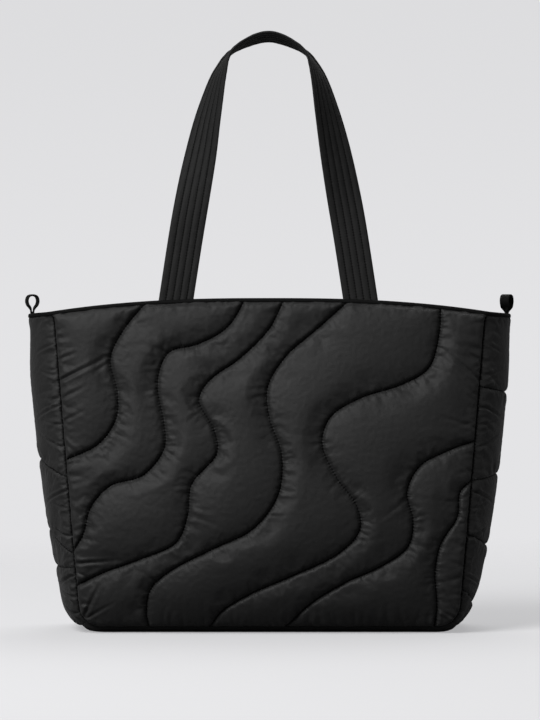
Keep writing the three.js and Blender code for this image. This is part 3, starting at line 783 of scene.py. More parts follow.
def settle(points, faces, held, slack, most):
    """Cloth simulation: the wadding pushes the shell out between its sewn lines.

    `slack` is each point's share of the spare cloth, and `most` the spare cloth at a share of 1.
    """
    settings = bpy.context.scene.bag_padding
    scene = bpy.context.scene
    mesh = bpy.data.meshes.new("settling")
    mesh.from_pydata(points.tolist(), [], faces.tolist())
    cloth_object = bpy.data.objects.new("settling", mesh)
    scene.collection.objects.link(cloth_object)
    sewn_group = cloth_object.vertex_groups.new(name="sewn")
    sewn_group.add(np.flatnonzero(held).tolist(), 1.0, "REPLACE")
    taut_group = cloth_object.vertex_groups.new(name="taut")
    levels = np.round((1 - np.clip(slack, 0, 1)) * SLACK_LEVELS).astype(int)
    for level in np.unique(levels):
        taut_group.add(np.flatnonzero(levels == level).tolist(), level / SLACK_LEVELS, "REPLACE")
    modifier = cloth_object.modifiers.new("cloth", "CLOTH")
    cloth = modifier.settings
    for name, value in SHELL_CLOTH.items():
        setattr(cloth, name, value)
    cloth.bending_stiffness = settings.bending
    cloth.vertex_group_mass = "sewn"
    cloth.vertex_group_shrink = "taut"
    cloth.shrink_min = -most
    cloth.uniform_pressure_force = settings.pressure
    cloth.effector_weights.gravity = 0
    modifier.collision_settings.use_collision = False
    modifier.point_cache.frame_end = settings.steps
    for step in range(1, settings.steps + 1):
        scene.frame_set(step)
    settled = np.empty(len(points) * 3)
    evaluated = cloth_object.evaluated_get(bpy.context.evaluated_depsgraph_get())
    evaluated.data.vertices.foreach_get("co", settled)
    scene.frame_set(1)
    bpy.data.objects.remove(cloth_object)
    bpy.data.meshes.remove(mesh)
    move = settled.reshape(-1, 3) - points
    size = np.linalg.norm(move, axis=1)[:, None]
    return points + move * np.minimum(1, settings.cap / np.maximum(size, 1e-9))


def bends_of(line):
    """Curvature vectors along an evenly spaced line."""
    bend = np.zeros_like(line)
    bend[1:-1] = (line[2:] - 2 * line[1:-1] + line[:-2]) / lengths(line)[1] ** 2
    return bend


# Spare cloth: shares at the border and at straight lines, reach at the border, least and most that
# a bend adds, curvature of a full bend, and scale, spread and cut of the clusters
BORDER_SLACK, LINE_SLACK = 0.55, 0.5
BORDER_REACH = 0.7
BEND_SLACK = (-0.35, 0.7)
FULL_BEND = 40
CLUSTER_SCALE, CLUSTER_SPREAD, CLUSTER_CUT = 45, 0.8, 3.1
START_SCATTER = 0.0002


def gathers(chart, points, lines):
    """Spare cloth along the seams: more on the outside of bends, in uneven clusters."""
    settings = bpy.context.scene.bag_padding
    border = np.clip(chart.inside(points), 0, None)
    amount = BORDER_SLACK * (1 - smooth(border / (BORDER_REACH * settings.slack_reach)))
    for line in lines:
        gap, where = nearest_on(points, line)
        nearest = np.round(where).astype(int)
        bend = bends_of(line)
        away = points - line[nearest]
        outside = -(bend[nearest] * away).sum(axis=1) / np.maximum(gap, 1e-6)
        share = LINE_SLACK + np.clip(outside / FULL_BEND, *BEND_SLACK)
        amount = np.maximum(amount, share * (1 - smooth(gap / settings.slack_reach)))
    uneven = [noise.noise(Vector((u * CLUSTER_SCALE, v * CLUSTER_SCALE, CLUSTER_CUT)))
              for u, v in points.tolist()]
    return amount * (1 + CLUSTER_SPREAD * np.array(uneven))


def eased(rise, faces, share):
    """The rise with its ridges smoothed, fully where `share` is 1."""
    edges = edge_table(faces)[0]
    a, b = np.vstack([edges, edges[:, ::-1]]).T
    count = np.bincount(a, minlength=len(rise))
    for _ in range(EASE_PASSES):
        mean = np.bincount(a, weights=rise[b], minlength=len(rise)) / count
        rise = rise + share * (mean - rise)
    return rise


def padded_skin(chart, height, reach, seed):
    """Outer skin of a padded wall: points with their chart places, faces and sewn edges."""
    settings = bpy.context.scene.bag_padding
    step = settings.mesh_step * chart.fineness
    lines = [clipped(resample(line, step), chart) for line in chart.lines]
    points, faces, sewn = tile(chart, step, lines, seed)
    pressed = chart.pressed(points)
    held = pressed <= 0
    held[np.unique(sewn)] = True
    seam_gap = chart.inside_seams(points)
    edge_rise = np.minimum(puff(seam_gap, reach, height, chart.edge_lip),
                           puff(pressed, settings.top_reach, height))
    line_gap = np.min([nearest_on(points, line)[0] for line in lines], axis=0)
    low = chart.line_rise(points)
    rise = np.minimum(edge_rise, low + (height - low) * puff(line_gap, reach, 1.0))
    free = np.minimum(np.minimum(seam_gap, pressed), line_gap) - EASE_START
    rise = eased(rise, faces, smooth(free / EASE_REACH)) * chart.fullness(points)
    rng = np.random.default_rng(seed + 1)
    rise = rise + rng.uniform(-START_SCATTER, START_SCATTER, len(points)) * ~held
    start = chart.place(points, rise)
    spare = chart.looseness * settings.slack
    start = settle(start, faces, held, gathers(chart, points, lines), spare)
    return np.hstack([start, points]), faces, sewn


# Grooves fade out over GROOVE_FADE at the binding, folds over SEAM_REST at the side seams, and no
# fold is deeper than FOLD_DEPTH
SEAM_STEP = 0.002
GROOVE_FADE = 0.002
SEAM_REST = 0.0018
FOLD_DEPTH = 0.0038

# Section of a fold in half widths: its shoulders' height, place and width, the valley's sharpness,
# and the power with which it fades along its length
SHOULDER_HEIGHT, SHOULDER_PLACE, SHOULDER_WIDTH = 0.45, 1.7, 0.9
VALLEY_SHARPNESS = 1.4
FOLD_FADE = 1.2

# Short folds at the seams: least and mean extra spacing, lengths, half widths and what length adds
# to them, sizes, spread of their slant, and half widths over which a fold is felt
PUCKER_SPACING = (0.0028, 0.0034)
PUCKER_LENGTH = (0.007, 0.026)
PUCKER_WIDTH, WIDTH_BY_LENGTH = (0.0009, 0.0013), 0.03
PUCKER_SIZE = (0.25, 1.0)
PUCKER_SLANT = 0.2
PUCKER_SPREAD = 3.5

# Most that creasing adds to length, width and slant, and to the distance that is looked at
LENGTH_GAIN, WIDTH_GAIN, SLANT_GAIN, SEARCH_GAIN = 1.7, 1.4, 2.2, 2.2

# Least and most tightness of a bend, what it adds to length, and sizes at the edges, on straight
# quilting lines and what a bend adds there
TIGHTNESS = (-0.5, 1.0)
BEND_LENGTH = 0.9
EDGE_SIZE, STRAIGHT_SIZE, BEND_SIZE = 0.7, 0.25, 1.3


def seam_lines(chart):
    """Quilting lines and edge seams of a wall, evenly spaced."""
    lines = [clipped(resample(line, SEAM_STEP), chart) for line in chart.lines]
    return lines, [resample(edge, SEAM_STEP) for edge in chart.edges()]


def fold(across, share):
    """A sharp valley between two soft shoulders that fades along its length."""
    across = np.abs(across)
    shoulders = SHOULDER_HEIGHT * np.exp(-((across - SHOULDER_PLACE) / SHOULDER_WIDTH) ** 2)
    return (shoulders - np.exp(-VALLEY_SHARPNESS * across)) * np.clip(1 - share, 0, 1) ** FOLD_FADE


def puckers(places, line, gap, where, rng, amount, creasing):
    """Rise of the folds that run away from one seam on both its sides; `creasing` enlarges them."""
    step = lengths(line)[1]
    tangent = unit(np.gradient(line, axis=0))
    normal = np.column_stack([-tangent[:, 1], tangent[:, 0]])
    bend = bends_of(line)
    at = np.round(where).astype(int)
    side = np.sign(((places - line[at]) * normal[at]).sum(axis=1))
    rise = np.zeros(len(places))
    for face in (-1, 1):
        near = np.flatnonzero((side == face) & (gap < SEARCH_GAIN * PUCKER_LENGTH[1] * creasing))
        d, s = gap[near], where[near] * step
        start = 0.0
        while start < step * (len(line) - 1):
            start += PUCKER_SPACING[0] + rng.exponential(PUCKER_SPACING[1])
            k = min(int(start / step), len(line) - 1)
            tight = np.clip(-face * (bend[k] @ normal[k]) / FULL_BEND, *TIGHTNESS)
            low, high = PUCKER_LENGTH
            reach = (low + (high - low) * rng.random() ** 2) * (1 + BEND_LENGTH * tight)
            reach *= min(creasing, LENGTH_GAIN)
            width = (rng.uniform(*PUCKER_WIDTH) + WIDTH_BY_LENGTH * reach) * min(creasing, WIDTH_GAIN)
            size = amount * creasing * rng.uniform(*PUCKER_SIZE)
            size *= EDGE_SIZE if creasing > 1 else STRAIGHT_SIZE + BEND_SIZE * max(tight, 0)
            off = s - start - rng.normal(0, PUCKER_SLANT) * min(creasing, SLANT_GAIN) * d
            on = np.flatnonzero((d < reach) & (np.abs(off) < PUCKER_SPREAD * width))
            rise[near[on]] += size * fold(off[on] / width, d[on] / reach)
    return rise


def long_folds(places, folds):
    """Rise of single folds from one point to another."""
    rise = np.zeros(len(places))
    for start, end, width, depth in folds:
        gap, where = nearest_on(places, np.array([start, end]))
        rise += depth * fold(gap / width, where)
    return rise


def gathered(chart, fine, seed):
    """The refined skin with grooves and short folds at its seams, and its place by the seams."""
    settings = bpy.context.scene.bag_padding
    rng = np.random.default_rng(seed)
    places = fine[:, 3:]
    lines, edges = seam_lines(chart)
    quilted, sewn_in = np.full(len(fine), 1.0), np.full(len(fine), 1.0)
    gap, along = np.full(len(fine), 1.0), np.zeros(len(fine))
    rise = long_folds(places, chart.folds)
    for number, line in enumerate([*lines, *edges]):
        here, where = nearest_on(places, line)
        closer = here < gap
        gap[closer] = here[closer]
        edge = number >= len(lines)
        along[closer] = (-1 if edge else 1) * (number + 1 + where[closer] * lengths(line)[1])
        creasing = chart.creasing if edge else 1.0
        rise += puckers(places, line, here, where, rng, settings.pucker, creasing)
        if edge:
            sewn_in = np.minimum(sewn_in, here)
        else:
            quilted = np.minimum(quilted, here)
    free = smooth(np.clip(chart.pressed(places), 0, None) / GROOVE_FADE)
    rise = rise * smooth(sewn_in / SEAM_REST)
    groove = settings.groove * chart.groove_share * np.exp(-quilted / GROOVE_REACH)
    rise = (np.clip(rise, -FOLD_DEPTH, FOLD_DEPTH / 2) - groove) * free * chart.drawn(places)
    skin = fine[:, :3] + chart.outward(places) * rise[:, None]
    drawn_in = SEAM_GROOVE * np.exp(-sewn_in / GROOVE_REACH) * free
    skin = skin + chart.inward(places) * drawn_in[:, None]
    skin[:, 2] = np.maximum(skin[:, 2], 0)
    # The places by the seams also set where the shell's material paints shade in the grooves
    return skin, np.column_stack([along, gap])


def lining(chart, border):
    """Triangles of the smooth inside of a wall whose edge has these chart points."""
    (left, right), (low, high) = chart.span()
    across, up = np.meshgrid(np.arange(left, right, LINING_STEP), np.arange(low, high, LINING_STEP))
    grid = np.column_stack([across.ravel(), up.ravel()])
    grid = grid[chart.inside(grid) > SEAM_CLEARANCE * LINING_STEP]
    points = np.vstack([border, grid])
    edges = ring_edges(len(border))
    made = delaunay_2d_cdt([Vector(p) for p in points], edges, [], 1, SAME_LINING_POINT)
    if len(made[0]) != len(points):
        raise RuntimeError("the lining's edge crosses itself")
    return points, np.array(made[2])


def closed_wall(chart, skin, faces, sewn, seed):
    """Refined outer skin, the lining behind it and the narrow faces round the edge.

    Returns points, faces, chart places, places by the seams and the number of shell faces.
    """
    first = len(skin)
    fine, faces, _ = refine(skin, faces, sewn)
    known = set(map(tuple, face_sides(faces).tolist()))
    follow = {a: b for a, b in known if (b, a) not in known}
    rim = [min(follow)]
    while follow[rim[-1]] != rim[0]:
        rim.append(follow[rim[-1]])
    corners = rim[::2]
    if max(corners) >= first or len(rim) != 2 * len(corners):
        raise RuntimeError("the wall's edge is not a single closed line")
    inner, inner_faces = lining(chart, fine[corners, 3:])
    start = len(fine)
    band = []
    for k in range(len(corners)):
        here, middle, after = rim[2 * k], rim[2 * k + 1], rim[(2 * k + 2) % len(rim)]
        near, far = start + k, start + (k + 1) % len(corners)
        band += [(middle, here, near), (middle, near, far), (after, middle, far)]
    outer, by_seam = gathered(chart, fine, seed)
    points = np.vstack([outer, chart.place(inner, 0.0, WALL)])
    places = np.vstack([fine[:, 3:], inner])
    by_seam = np.vstack([by_seam, np.tile((0.0, 1.0), (len(inner), 1))])
    solid = np.vstack([faces, band, start + inner_faces[:, ::-1]])
    return points, solid, places, by_seam, len(faces) + len(band)


def wall_piece(name, node, points, solid, places, by_seam, shell_faces):
    """A closed padded wall with its shell and lining."""
    slots = np.arange(len(solid)) >= shell_faces
    made = mesh_object(name, points, solid, [cloth_material("shell"), cloth_material("lining")],
                       slots, cloth=places, seam=by_seam)
    crease_edge(made.data, np.intersect1d(solid[:shell_faces], solid[shell_faces:]))
    return finish_piece(made, [node])


def crease_edge(mesh, rim):
    """Makes the lining's edge sharp, so that its shading does not run into the shell's."""
    ends = np.empty(2 * len(mesh.edges), np.int32)
    mesh.edges.foreach_get("vertices", ends)
    mesh.edges.foreach_set("use_edge_sharp", np.isin(ends.reshape(-1, 2), rim).all(axis=1))
    mesh.update()


def mesh_object(name, points, faces, materials, face_slots=None, **maps):
    """A smooth-shaded mesh object; each map gives every point a place in metres."""
    mesh = bpy.data.meshes.new(name)
    mesh.from_pydata(np.asarray(points).tolist(), [], [list(map(int, face)) for face in faces])
    mesh.polygons.foreach_set("use_smooth", np.ones(len(mesh.polygons), bool))
    for material in materials:
        mesh.materials.append(material)
    if face_slots is not None:
        mesh.polygons.foreach_set("material_index", np.asarray(face_slots, np.int32))
    corners = np.empty(len(mesh.loops), np.int32)
    mesh.loops.foreach_get("vertex_index", corners)
    for label, uv in maps.items():
        layer = mesh.uv_layers.new(name=label)
        layer.data.foreach_set("uv", np.asarray(uv, np.float32)[corners].ravel())
    mesh.update()
    made = bpy.data.objects.new(name, mesh)
    bpy.context.scene.collection.objects.link(made)
    return made


def half_turned(points):
    return np.asarray(points) * (-1, -1, 1)


def finish_piece(made, nodes=()):
    """Ties a piece to the bag's body, and hides the solids it stands for."""
    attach(made, BODY)
    if nodes:
        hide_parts(*nodes)
    return made


# A stitch along its own length: place and radius of each ring, as shares of length and thread, and
# depth of its ends as a share of the thread
STITCH_RINGS = ((-0.36, 0.75), (-0.15, 1.0), (0.15, 1.0), (0.36, 0.75))
STITCH_SIDES = 5
STITCH_DIP = 0.6

# Rows of stitches: step, height over the cloth and room left at the ends
ROW_STEP = 0.0005
ROW_LIFT = 0.0001
ROW_END = 0.001


def stitch_rows(name, rows, pitch, material):
    """One piece with all stitches of some rows; a row is its points and their outward directions."""
    settings = bpy.context.scene.bag_stitching
    spots, runs, outs = [], [], []
    for line, outward in rows:
        along = lengths(line)
        count = max(1, int(along[-1] / pitch))
        at = (np.arange(count) + 0.5) * along[-1] / count
        half = 0.5 * settings.share * pitch
        place = [np.column_stack([np.interp(at + shift, along, c) for c in line.T])
                 for shift in (-half, 0.0, half)]
        spots.append(place[1])
        runs.append(place[2] - place[0])
        outs.append(np.column_stack([np.interp(at, along, c) for c in outward.T]))
    spots, runs, outs = (np.vstack(part) for part in (spots, runs, outs))
    run = unit(runs)
    side = unit(np.cross(run, outs))
    out = np.cross(side, run)
    size = settings.share * pitch
    rings, turns = [], np.arange(STITCH_SIDES) * 2 * math.pi / STITCH_SIDES
    ends = [spots + run * size * end - out * settings.thread * STITCH_DIP for end in (-0.5, 0.5)]
    for at, radius in STITCH_RINGS:
        for turn in turns:
            reach = settings.thread * radius
            rings.append(spots + run * size * at + side * reach * math.cos(turn)
                         + out * reach * math.sin(turn))
    stack = np.stack([ends[0], *rings, ends[1]], axis=1)
    each = stack.shape[1]
    faces = []
    for k in range(STITCH_SIDES):
        after = (k + 1) % STITCH_SIDES
        faces.append((0, 1 + after, 1 + k))
        for ring in range(len(STITCH_RINGS) - 1):
            low, high = 1 + ring * STITCH_SIDES, 1 + (ring + 1) * STITCH_SIDES
            faces += [(low + k, low + after, high + after), (low + k, high + after, high + k)]
        last = 1 + (len(STITCH_RINGS) - 1) * STITCH_SIDES
        faces.append((last + k, last + after, each - 1))
    offsets = np.arange(len(spots))[:, None, None] * each
    every = (np.array(faces)[None] + offsets).reshape(-1, 3)
    made = mesh_object(name, stack.reshape(-1, 3), every, [material])
    return finish_piece(made)


def seam_rows(chart):
    """Rows for the stitches in a padded wall's quilting lines."""
    rows = []
    for line in chart.lines:
        line = clipped(resample(line, ROW_STEP), chart)
        line = line[chart.inside(line) > ROW_END]
        outward = chart.outward(line)
        free = smooth(np.clip(chart.pressed(line), 0, None) / GROOVE_FADE) * chart.drawn(line)
        groove = bpy.context.scene.bag_padding.groove * chart.groove_share
        rise = chart.line_rise(line) * chart.fullness(line) - groove * free
        rows.append((chart.place(line, rise + ROW_LIFT), outward))
    return rows


def swept(frames, profile, closed):
    """Points, faces and cloth places of a profile carried along frames (place, wide, high)."""
    at, wide, high = frames
    count, ring = len(at), len(profile)
    points = (at[:, None] + wide[:, None] * profile[None, :, :1] + high[:, None] * profile[None, :, 1:])
    along = lengths(at)
    around = lengths(profile)
    places = np.stack(np.meshgrid(along, around, indexing="ij"), axis=-1).reshape(-1, 2)
    k, p = np.meshgrid(np.arange(count if closed else count - 1), np.arange(ring), indexing="ij")
    after, q = (k + 1) % count, (p + 1) % ring
    faces = np.stack([k * ring + p, k * ring + q, after * ring + q, after * ring + p], axis=-1)
    faces = faces.reshape(-1, 4).tolist()
    if not closed:
        faces.append(list(range(ring))[::-1])
        faces.append([(count - 1) * ring + p for p in range(ring)])
    return points.reshape(-1, 3), faces, places


# Binding: points along a panel and a gusset, passes that round the mouth's corners, step, roundings
# at the top and at the edges of the tape, and height of the stitches over its edge
MOUTH_POINTS, MOUTH_END_POINTS = 200, 80
CORNER_PASSES = 6
BINDING_STEP = 0.002
BINDING_ROUND, BINDING_EDGE_ROUND = 0.0021, 0.0005
BINDING_ROW = 0.001


def mouth_line(below, step):
    """Middle line of the wall, `below` its top edge, once round the mouth."""
    x = np.linspace(-SEAM_HALF_TOP, SEAM_HALF_TOP, MOUTH_POINTS)
    front = np.column_stack([x, wall_top(x) - below])
    panel = np.column_stack([x, WALL / 2 - panel_depth(front[:, 0], front[:, 1]), front[:, 1]])
    chart = StripChart(1)
    across = np.linspace(-1, 1, MOUTH_END_POINTS)[1:-1] * seam_depth(SEAM_TOP - below)
    strip = np.column_stack([across, np.full(len(across), chart.top - below)])
    side = chart.place(strip, 0.0, WALL / 2)
    half = np.vstack([panel, side])
    loop = resample(np.vstack([half, half_turned(half)]), step, closed=True)
    for _ in range(CORNER_PASSES):
        loop = (np.roll(loop, 1, axis=0) + 2 * loop + np.roll(loop, -1, axis=0)) / 4
    return loop


def binding_frames():
    """Places, wide and high directions along the binding."""
    line, lower = mouth_line(0.0, BINDING_STEP), mouth_line(UPRIGHT_BAND, BINDING_STEP)
    lower = np.vstack([lower, lower[:1]])
    _, where = nearest_on(line[:, :2], lower[:, :2])
    high = line - lower[np.round(where).astype(int)]
    run = unit(np.roll(line, -1, axis=0) - np.roll(line, 1, axis=0))
    high = unit(high - (high * run).sum(axis=1)[:, None] * run)
    for _ in range(CORNER_PASSES):
        high = unit(np.roll(high, 1, axis=0) + 2 * high + np.roll(high, -1, axis=0))
    return line, np.cross(high, run), high


def rounded(half, low, high, radius, foot, count=6):
    """Closed outline of a tape folded over an edge: round top corners, small lower ones."""
    spots = []
    for cx, cy, r, start in ((half, high, radius, 0), (-half, high, radius, 90),
                             (-half, low, foot, 180), (half, low, foot, 270)):
        for turn in np.radians(start + np.linspace(0, 90, count)):
            spots.append((cx - math.copysign(r, cx) + r * math.cos(turn),
                          cy + (r if cy == low else -r) + r * math.sin(turn)))
    return np.array(spots)


# Handles: step, passes that even out their turn, half thickness in the stitched grooves, width of
# the rounded edges and what is left of the thickness there, fullness and points of a channel
STRAP_STEP = 0.0025
TURN_PASSES = 30
STRAP_GROOVE = 0.0008
STRAP_EDGE, EDGE_LOSS, EDGE_THICK = 0.0012, 0.8, 0.0002
CHANNEL_FULLNESS = 0.7
CHANNEL_POINTS = 8

# Unevenness of the handles: waves per metre, their size and the step between two straps' waves,
# scale of the puckers along and across, their share of the padding, and height of the stitches
STRAP_WAVES, STRAP_SWAY = 22, 0.0007
WAVE_PLACE = (1.7, 0.4)
FRONT_WAVES, BACK_WAVES = 12, 11
STRAP_PUCKERS, PUCKER_SHARE = (260, 150), 0.55
STRAP_ROW_LIFT = 0.00012


def strap_frames(course, step):
    """Places, wide and high directions along a whole handle."""
    rows = np.array(course)
    left = np.column_stack([HANDLE_SHIFT - rows[:, 0], rows[:, 2], rows[:, 1]])
    right = np.column_stack([HANDLE_SHIFT + rows[:, 0], rows[:, 2], rows[:, 1]])[-2::-1]
    bends = np.vstack([left, right])
    line = curve_through(bends, step)
    turns = np.radians(np.concatenate([rows[:, 3], rows[-2::-1, 3]]))
    at = [int(np.argmin(((line - bend) ** 2).sum(axis=1))) for bend in bends]
    turn = np.interp(np.arange(len(line)), at, turns)
    for _ in range(TURN_PASSES):
        turn[1:-1] = (turn[2:] + 2 * turn[1:-1] + turn[:-2]) / 4
    run = unit(np.gradient(line, axis=0))
    outward = unit(np.cross(run, (0.0, 1.0, 0.0)))
    forward = unit(np.cross(outward, run))
    wide = outward * np.cos(turn)[:, None] + forward * np.sin(turn)[:, None]
    return line, wide, np.cross(run, wide)


def strap_half_thickness(across):
    """Half thickness of the strap across its width: padded channels between stitched grooves."""
    share = across / HANDLE_WIDTH + 0.5
    swellings = np.abs(np.sin(math.pi * HANDLE_CHANNELS * share)) ** CHANNEL_FULLNESS
    thick = STRAP_GROOVE + (HANDLE_THICK / 2 - STRAP_GROOVE) * swellings
    past = np.clip((np.abs(across) - HANDLE_WIDTH / 2 + STRAP_EDGE) / STRAP_EDGE, 0, 1)
    return thick * np.sqrt(1 - EDGE_LOSS * past**2) + EDGE_THICK * past


def strap_piece(name, course, node, seed, material, thread):
    """A handle with padded channels, and its stitch rows on both faces."""
    stitching = bpy.context.scene.bag_stitching
    line, wide, high = strap_frames(course, STRAP_STEP)
    count = HANDLE_CHANNELS * CHANNEL_POINTS
    across = -HANDLE_WIDTH / 2 * np.cos(np.linspace(0, math.pi, count + 1))
    across = 0.5 * across + 0.5 * np.linspace(-HANDLE_WIDTH / 2, HANDLE_WIDTH / 2, count + 1)
    thick = strap_half_thickness(across)
    profile = np.vstack([np.column_stack([across, -thick]), np.column_stack([across, thick])[::-1]])
    apart, cut = WAVE_PLACE
    wave = [noise.noise(Vector((s * STRAP_WAVES, seed * apart, cut))) for s in lengths(line)]
    sway = line + high * (STRAP_SWAY * np.array(wave))[:, None]
    points, faces, places = swept((sway, wide, high), profile, False)
    scale = np.append(STRAP_PUCKERS, 1)
    pucker = [noise.noise(Vector(scale * (u, v, seed))) for u, v in places.tolist()]
    padding = np.tile(np.sign(profile[:, 1]) * (np.abs(profile[:, 1]) - STRAP_GROOVE), len(line))
    lift = PUCKER_SHARE * np.array(pucker) * padding
    points = points + np.repeat(high, len(profile), axis=0) * lift[:, None]
    # Distance to the nearest stitched groove, where the strap's material paints shade and tiny folds
    share = (profile[:, 0] / HANDLE_WIDTH + 0.5) * HANDLE_CHANNELS
    seam = np.clip(np.round(share), 1, HANDLE_CHANNELS - 1)
    gap = np.abs(share - seam) * HANDLE_WIDTH / HANDLE_CHANNELS
    by_seam = np.column_stack([places[:, 0], np.tile(gap, len(line))])
    made = mesh_object(name, points, faces, [material], cloth=places, seam=by_seam)
    finish_piece(made, [node])
    rows = []
    for k in range(1, HANDLE_CHANNELS):
        place = HANDLE_WIDTH * (k / HANDLE_CHANNELS - 0.5)
        for face in (-1, 1):
            row = sway + wide * place + high * face * (STRAP_GROOVE + STRAP_ROW_LIFT)
            rows.append((row, high * face))
    stitch_rows(name + "_stitches", rows, stitching.strap_pitch, thread)


def loop_piece(name, node, side, turn, material):
    """A loop of folded tape standing on the binding at one end of the mouth."""
    chart = StripChart(1)
    foot = chart.place(np.array([[0.0, chart.top]]), 0.0, WALL / 2)[0]
    rows = np.array(LOOP_OUTLINE)
    rows = np.column_stack([np.maximum(rows[:, 0] - LOOP_TAPE / 2, 0), rows[:, 1]])
    rows[-1, 1] -= LOOP_TAPE / 2
    rows = np.vstack([(rows[0, 0], LOOP_ROOT), rows])
    flat = curve_through(np.vstack([rows, rows[-2::-1] * (-1, 1)]), LOOP_STEP)
    line = np.column_stack([flat[:, 0], np.zeros(len(flat)), flat[:, 1]])
    run = unit(np.gradient(line, axis=0))
    wide = np.tile((0.0, 1.0, 0.0), (len(line), 1))
    high = np.cross(run, wide)
    half, thick = LOOP_TAPE_WIDTH / 2, LOOP_TAPE / 2
    profile = rounded(half, -thick, thick, LOOP_ROUND, LOOP_ROUND, LOOP_ROUND_POINTS)
    points, faces, places = swept((line, wide, high), profile, False)
    angle = turn * smooth(points[:, 2] / LOOP_TURN_HEIGHT)
    x = points[:, 0] * np.cos(angle) - points[:, 1] * np.sin(angle)
    y = points[:, 0] * np.sin(angle) + points[:, 1] * np.cos(angle)
    z = points[:, 2] + foot[2] + 2 * CLEAR + TAPE
    spots = np.column_stack([x + side * (foot[0] - LOOP_INSET), y, z])
    made = mesh_object(name, spots, faces, [material], cloth=places)
    finish_piece(made, [node])


class Nodes:
    """Short ways to add and join shader nodes in one tree."""

    def __init__(self, tree):
        self.tree = tree

    def feed(self, socket, value):
        """Joins a socket to another one, or sets its value."""
        if isinstance(value, bpy.types.NodeSocket):
            self.tree.links.new(value, socket)
        else:
            socket.default_value = value

    def add(self, kind, inputs=None, **settings):
        """A node with these settings, and with its inputs fed."""
        node = self.tree.nodes.new(kind)
        for key, value in settings.items():
            setattr(node, key, value)
        for key, value in (inputs or {}).items():
            self.feed(node.inputs[key], value)
        return node

    def math(self, operation, *values):
        return self.add("ShaderNodeMath", dict(enumerate(values)), operation=operation).outputs[0]

    def scaled(self, vector, share):
        node = self.add("ShaderNodeVectorMath", operation="SCALE")
        self.feed(node.inputs[0], vector)
        self.feed(node.inputs["Scale"], share)
        return node.outputs[0]

    def faded(self, value, start, end, low, high):
        """A smooth change from `low` at `start` to `high` at `end`."""
        ends = {"From Min": start, "From Max": end, "To Min": low, "To Max": high}
        node = self.add("ShaderNodeMapRange", {"Value": value, **ends}, interpolation_type="SMOOTHSTEP")
        return node.outputs[0]

    def noise(self, **inputs):
        return self.add("ShaderNodeTexNoise", inputs).outputs[0]

    def bump(self, height, distance, **normal):
        return self.add("ShaderNodeBump", {"Height": height, "Distance": distance, **normal}).outputs[0]

    def parts(self, place):
        return self.add("ShaderNodeSeparateXYZ", {0: place}).outputs

    def ridges(self, value):
        """A round ridge on each unit of the value."""
        return self.math("ABSOLUTE", self.math("SINE", self.math("MULTIPLY", value, math.pi)))


def socket_kind(value):
    """Kind of a group's socket: a number, a colour, or a place where there is no value."""
    if value is None:
        return "NodeSocketVector"
    return "NodeSocketColor" if isinstance(value, tuple) else "NodeSocketFloat"


def new_group(name, inputs, outputs):
    """An empty node group with these sockets: its nodes, what it is given and what it puts out."""
    tree = bpy.data.node_groups.new(name, "ShaderNodeTree")
    for label, value in inputs.items():
        socket = tree.interface.new_socket(label, in_out="INPUT", socket_type=socket_kind(value))
        if value is not None:
            socket.default_value = value
    for label, value in outputs.items():
        tree.interface.new_socket(label, in_out="OUTPUT", socket_type=socket_kind(value))
    n = Nodes(tree)
    return n, n.add("NodeGroupInput").outputs, n.add("NodeGroupOutput").inputs


NO_COLOUR = (0.0, 0.0, 0.0, 1.0)

# Threads along a tape: their pitch, and their height against the ribs
TAPE_THREAD, TAPE_THREAD_HEIGHT = 0.0004, 0.15

# Cloth: noises of the dye, the fibres and the creases, share of dye and fibres in the tone, fibres
# that show as lint and how much lighter they are
DYE = {"Scale": 22.0, "Detail": 3.0}
FIBRES = {"Scale": 900.0, "Detail": 2.0}
CREASES = {"Scale": 120.0, "Detail": 4.0, "Distortion": 0.6}
TONE_SHARE = 0.65
LINT_FROM, LINT_GAIN = 0.74, 0.25

# Seams: scale of the uneven stitches, how far it moves them, gain and power of the folds, width of
# the painted shade line between and at the stitches (shade of the groove and the stitch holes, painted
# into the colour), and share of it that is fully dark
STITCH_NOISE, STITCH_DRIFT = 140.0, 5.0
STITCH_FOLD_GAIN, STITCH_FOLD_POWER = 1.5, 3.0
LINE_WIDTH, BEAD_WIDTH = 0.0005, 0.0013
DARK_SHARE = 0.2


def plain_weave_group():
    """Threads crossing over and under each other."""
    n, given, out = new_group("plain_weave", {"Place": None, "Pitch": 0.0004}, {"Height": 0.0})
    place = n.parts(given["Place"])
    across, along = (n.math("DIVIDE", place[k], given["Pitch"]) for k in (0, 1))
    cell = n.math("ADD", n.math("FLOOR", across), n.math("FLOOR", along))
    over = n.math("PINGPONG", cell, 1.0)
    under = n.math("SUBTRACT", 1.0, over)
    warp = n.math("MULTIPLY", n.ridges(across), over)
    weft = n.math("MULTIPLY", n.ridges(along), under)
    n.feed(out["Height"], n.math("ADD", warp, weft))
    return n.tree


def ribbed_tape_group():
    """Ribs across a tape, with fine threads along it."""
    n, given, out = new_group("ribbed_tape", {"Place": None, "Pitch": 0.0009}, {"Height": 0.0})
    place = n.parts(given["Place"])
    rib = n.ridges(n.math("DIVIDE", place[0], given["Pitch"]))
    threads = n.math("SINE", n.math("MULTIPLY", place[1], 2 * math.pi / TAPE_THREAD))
    n.feed(out["Height"], n.math("ADD", rib, n.math("MULTIPLY", threads, TAPE_THREAD_HEIGHT)))
    return n.tree


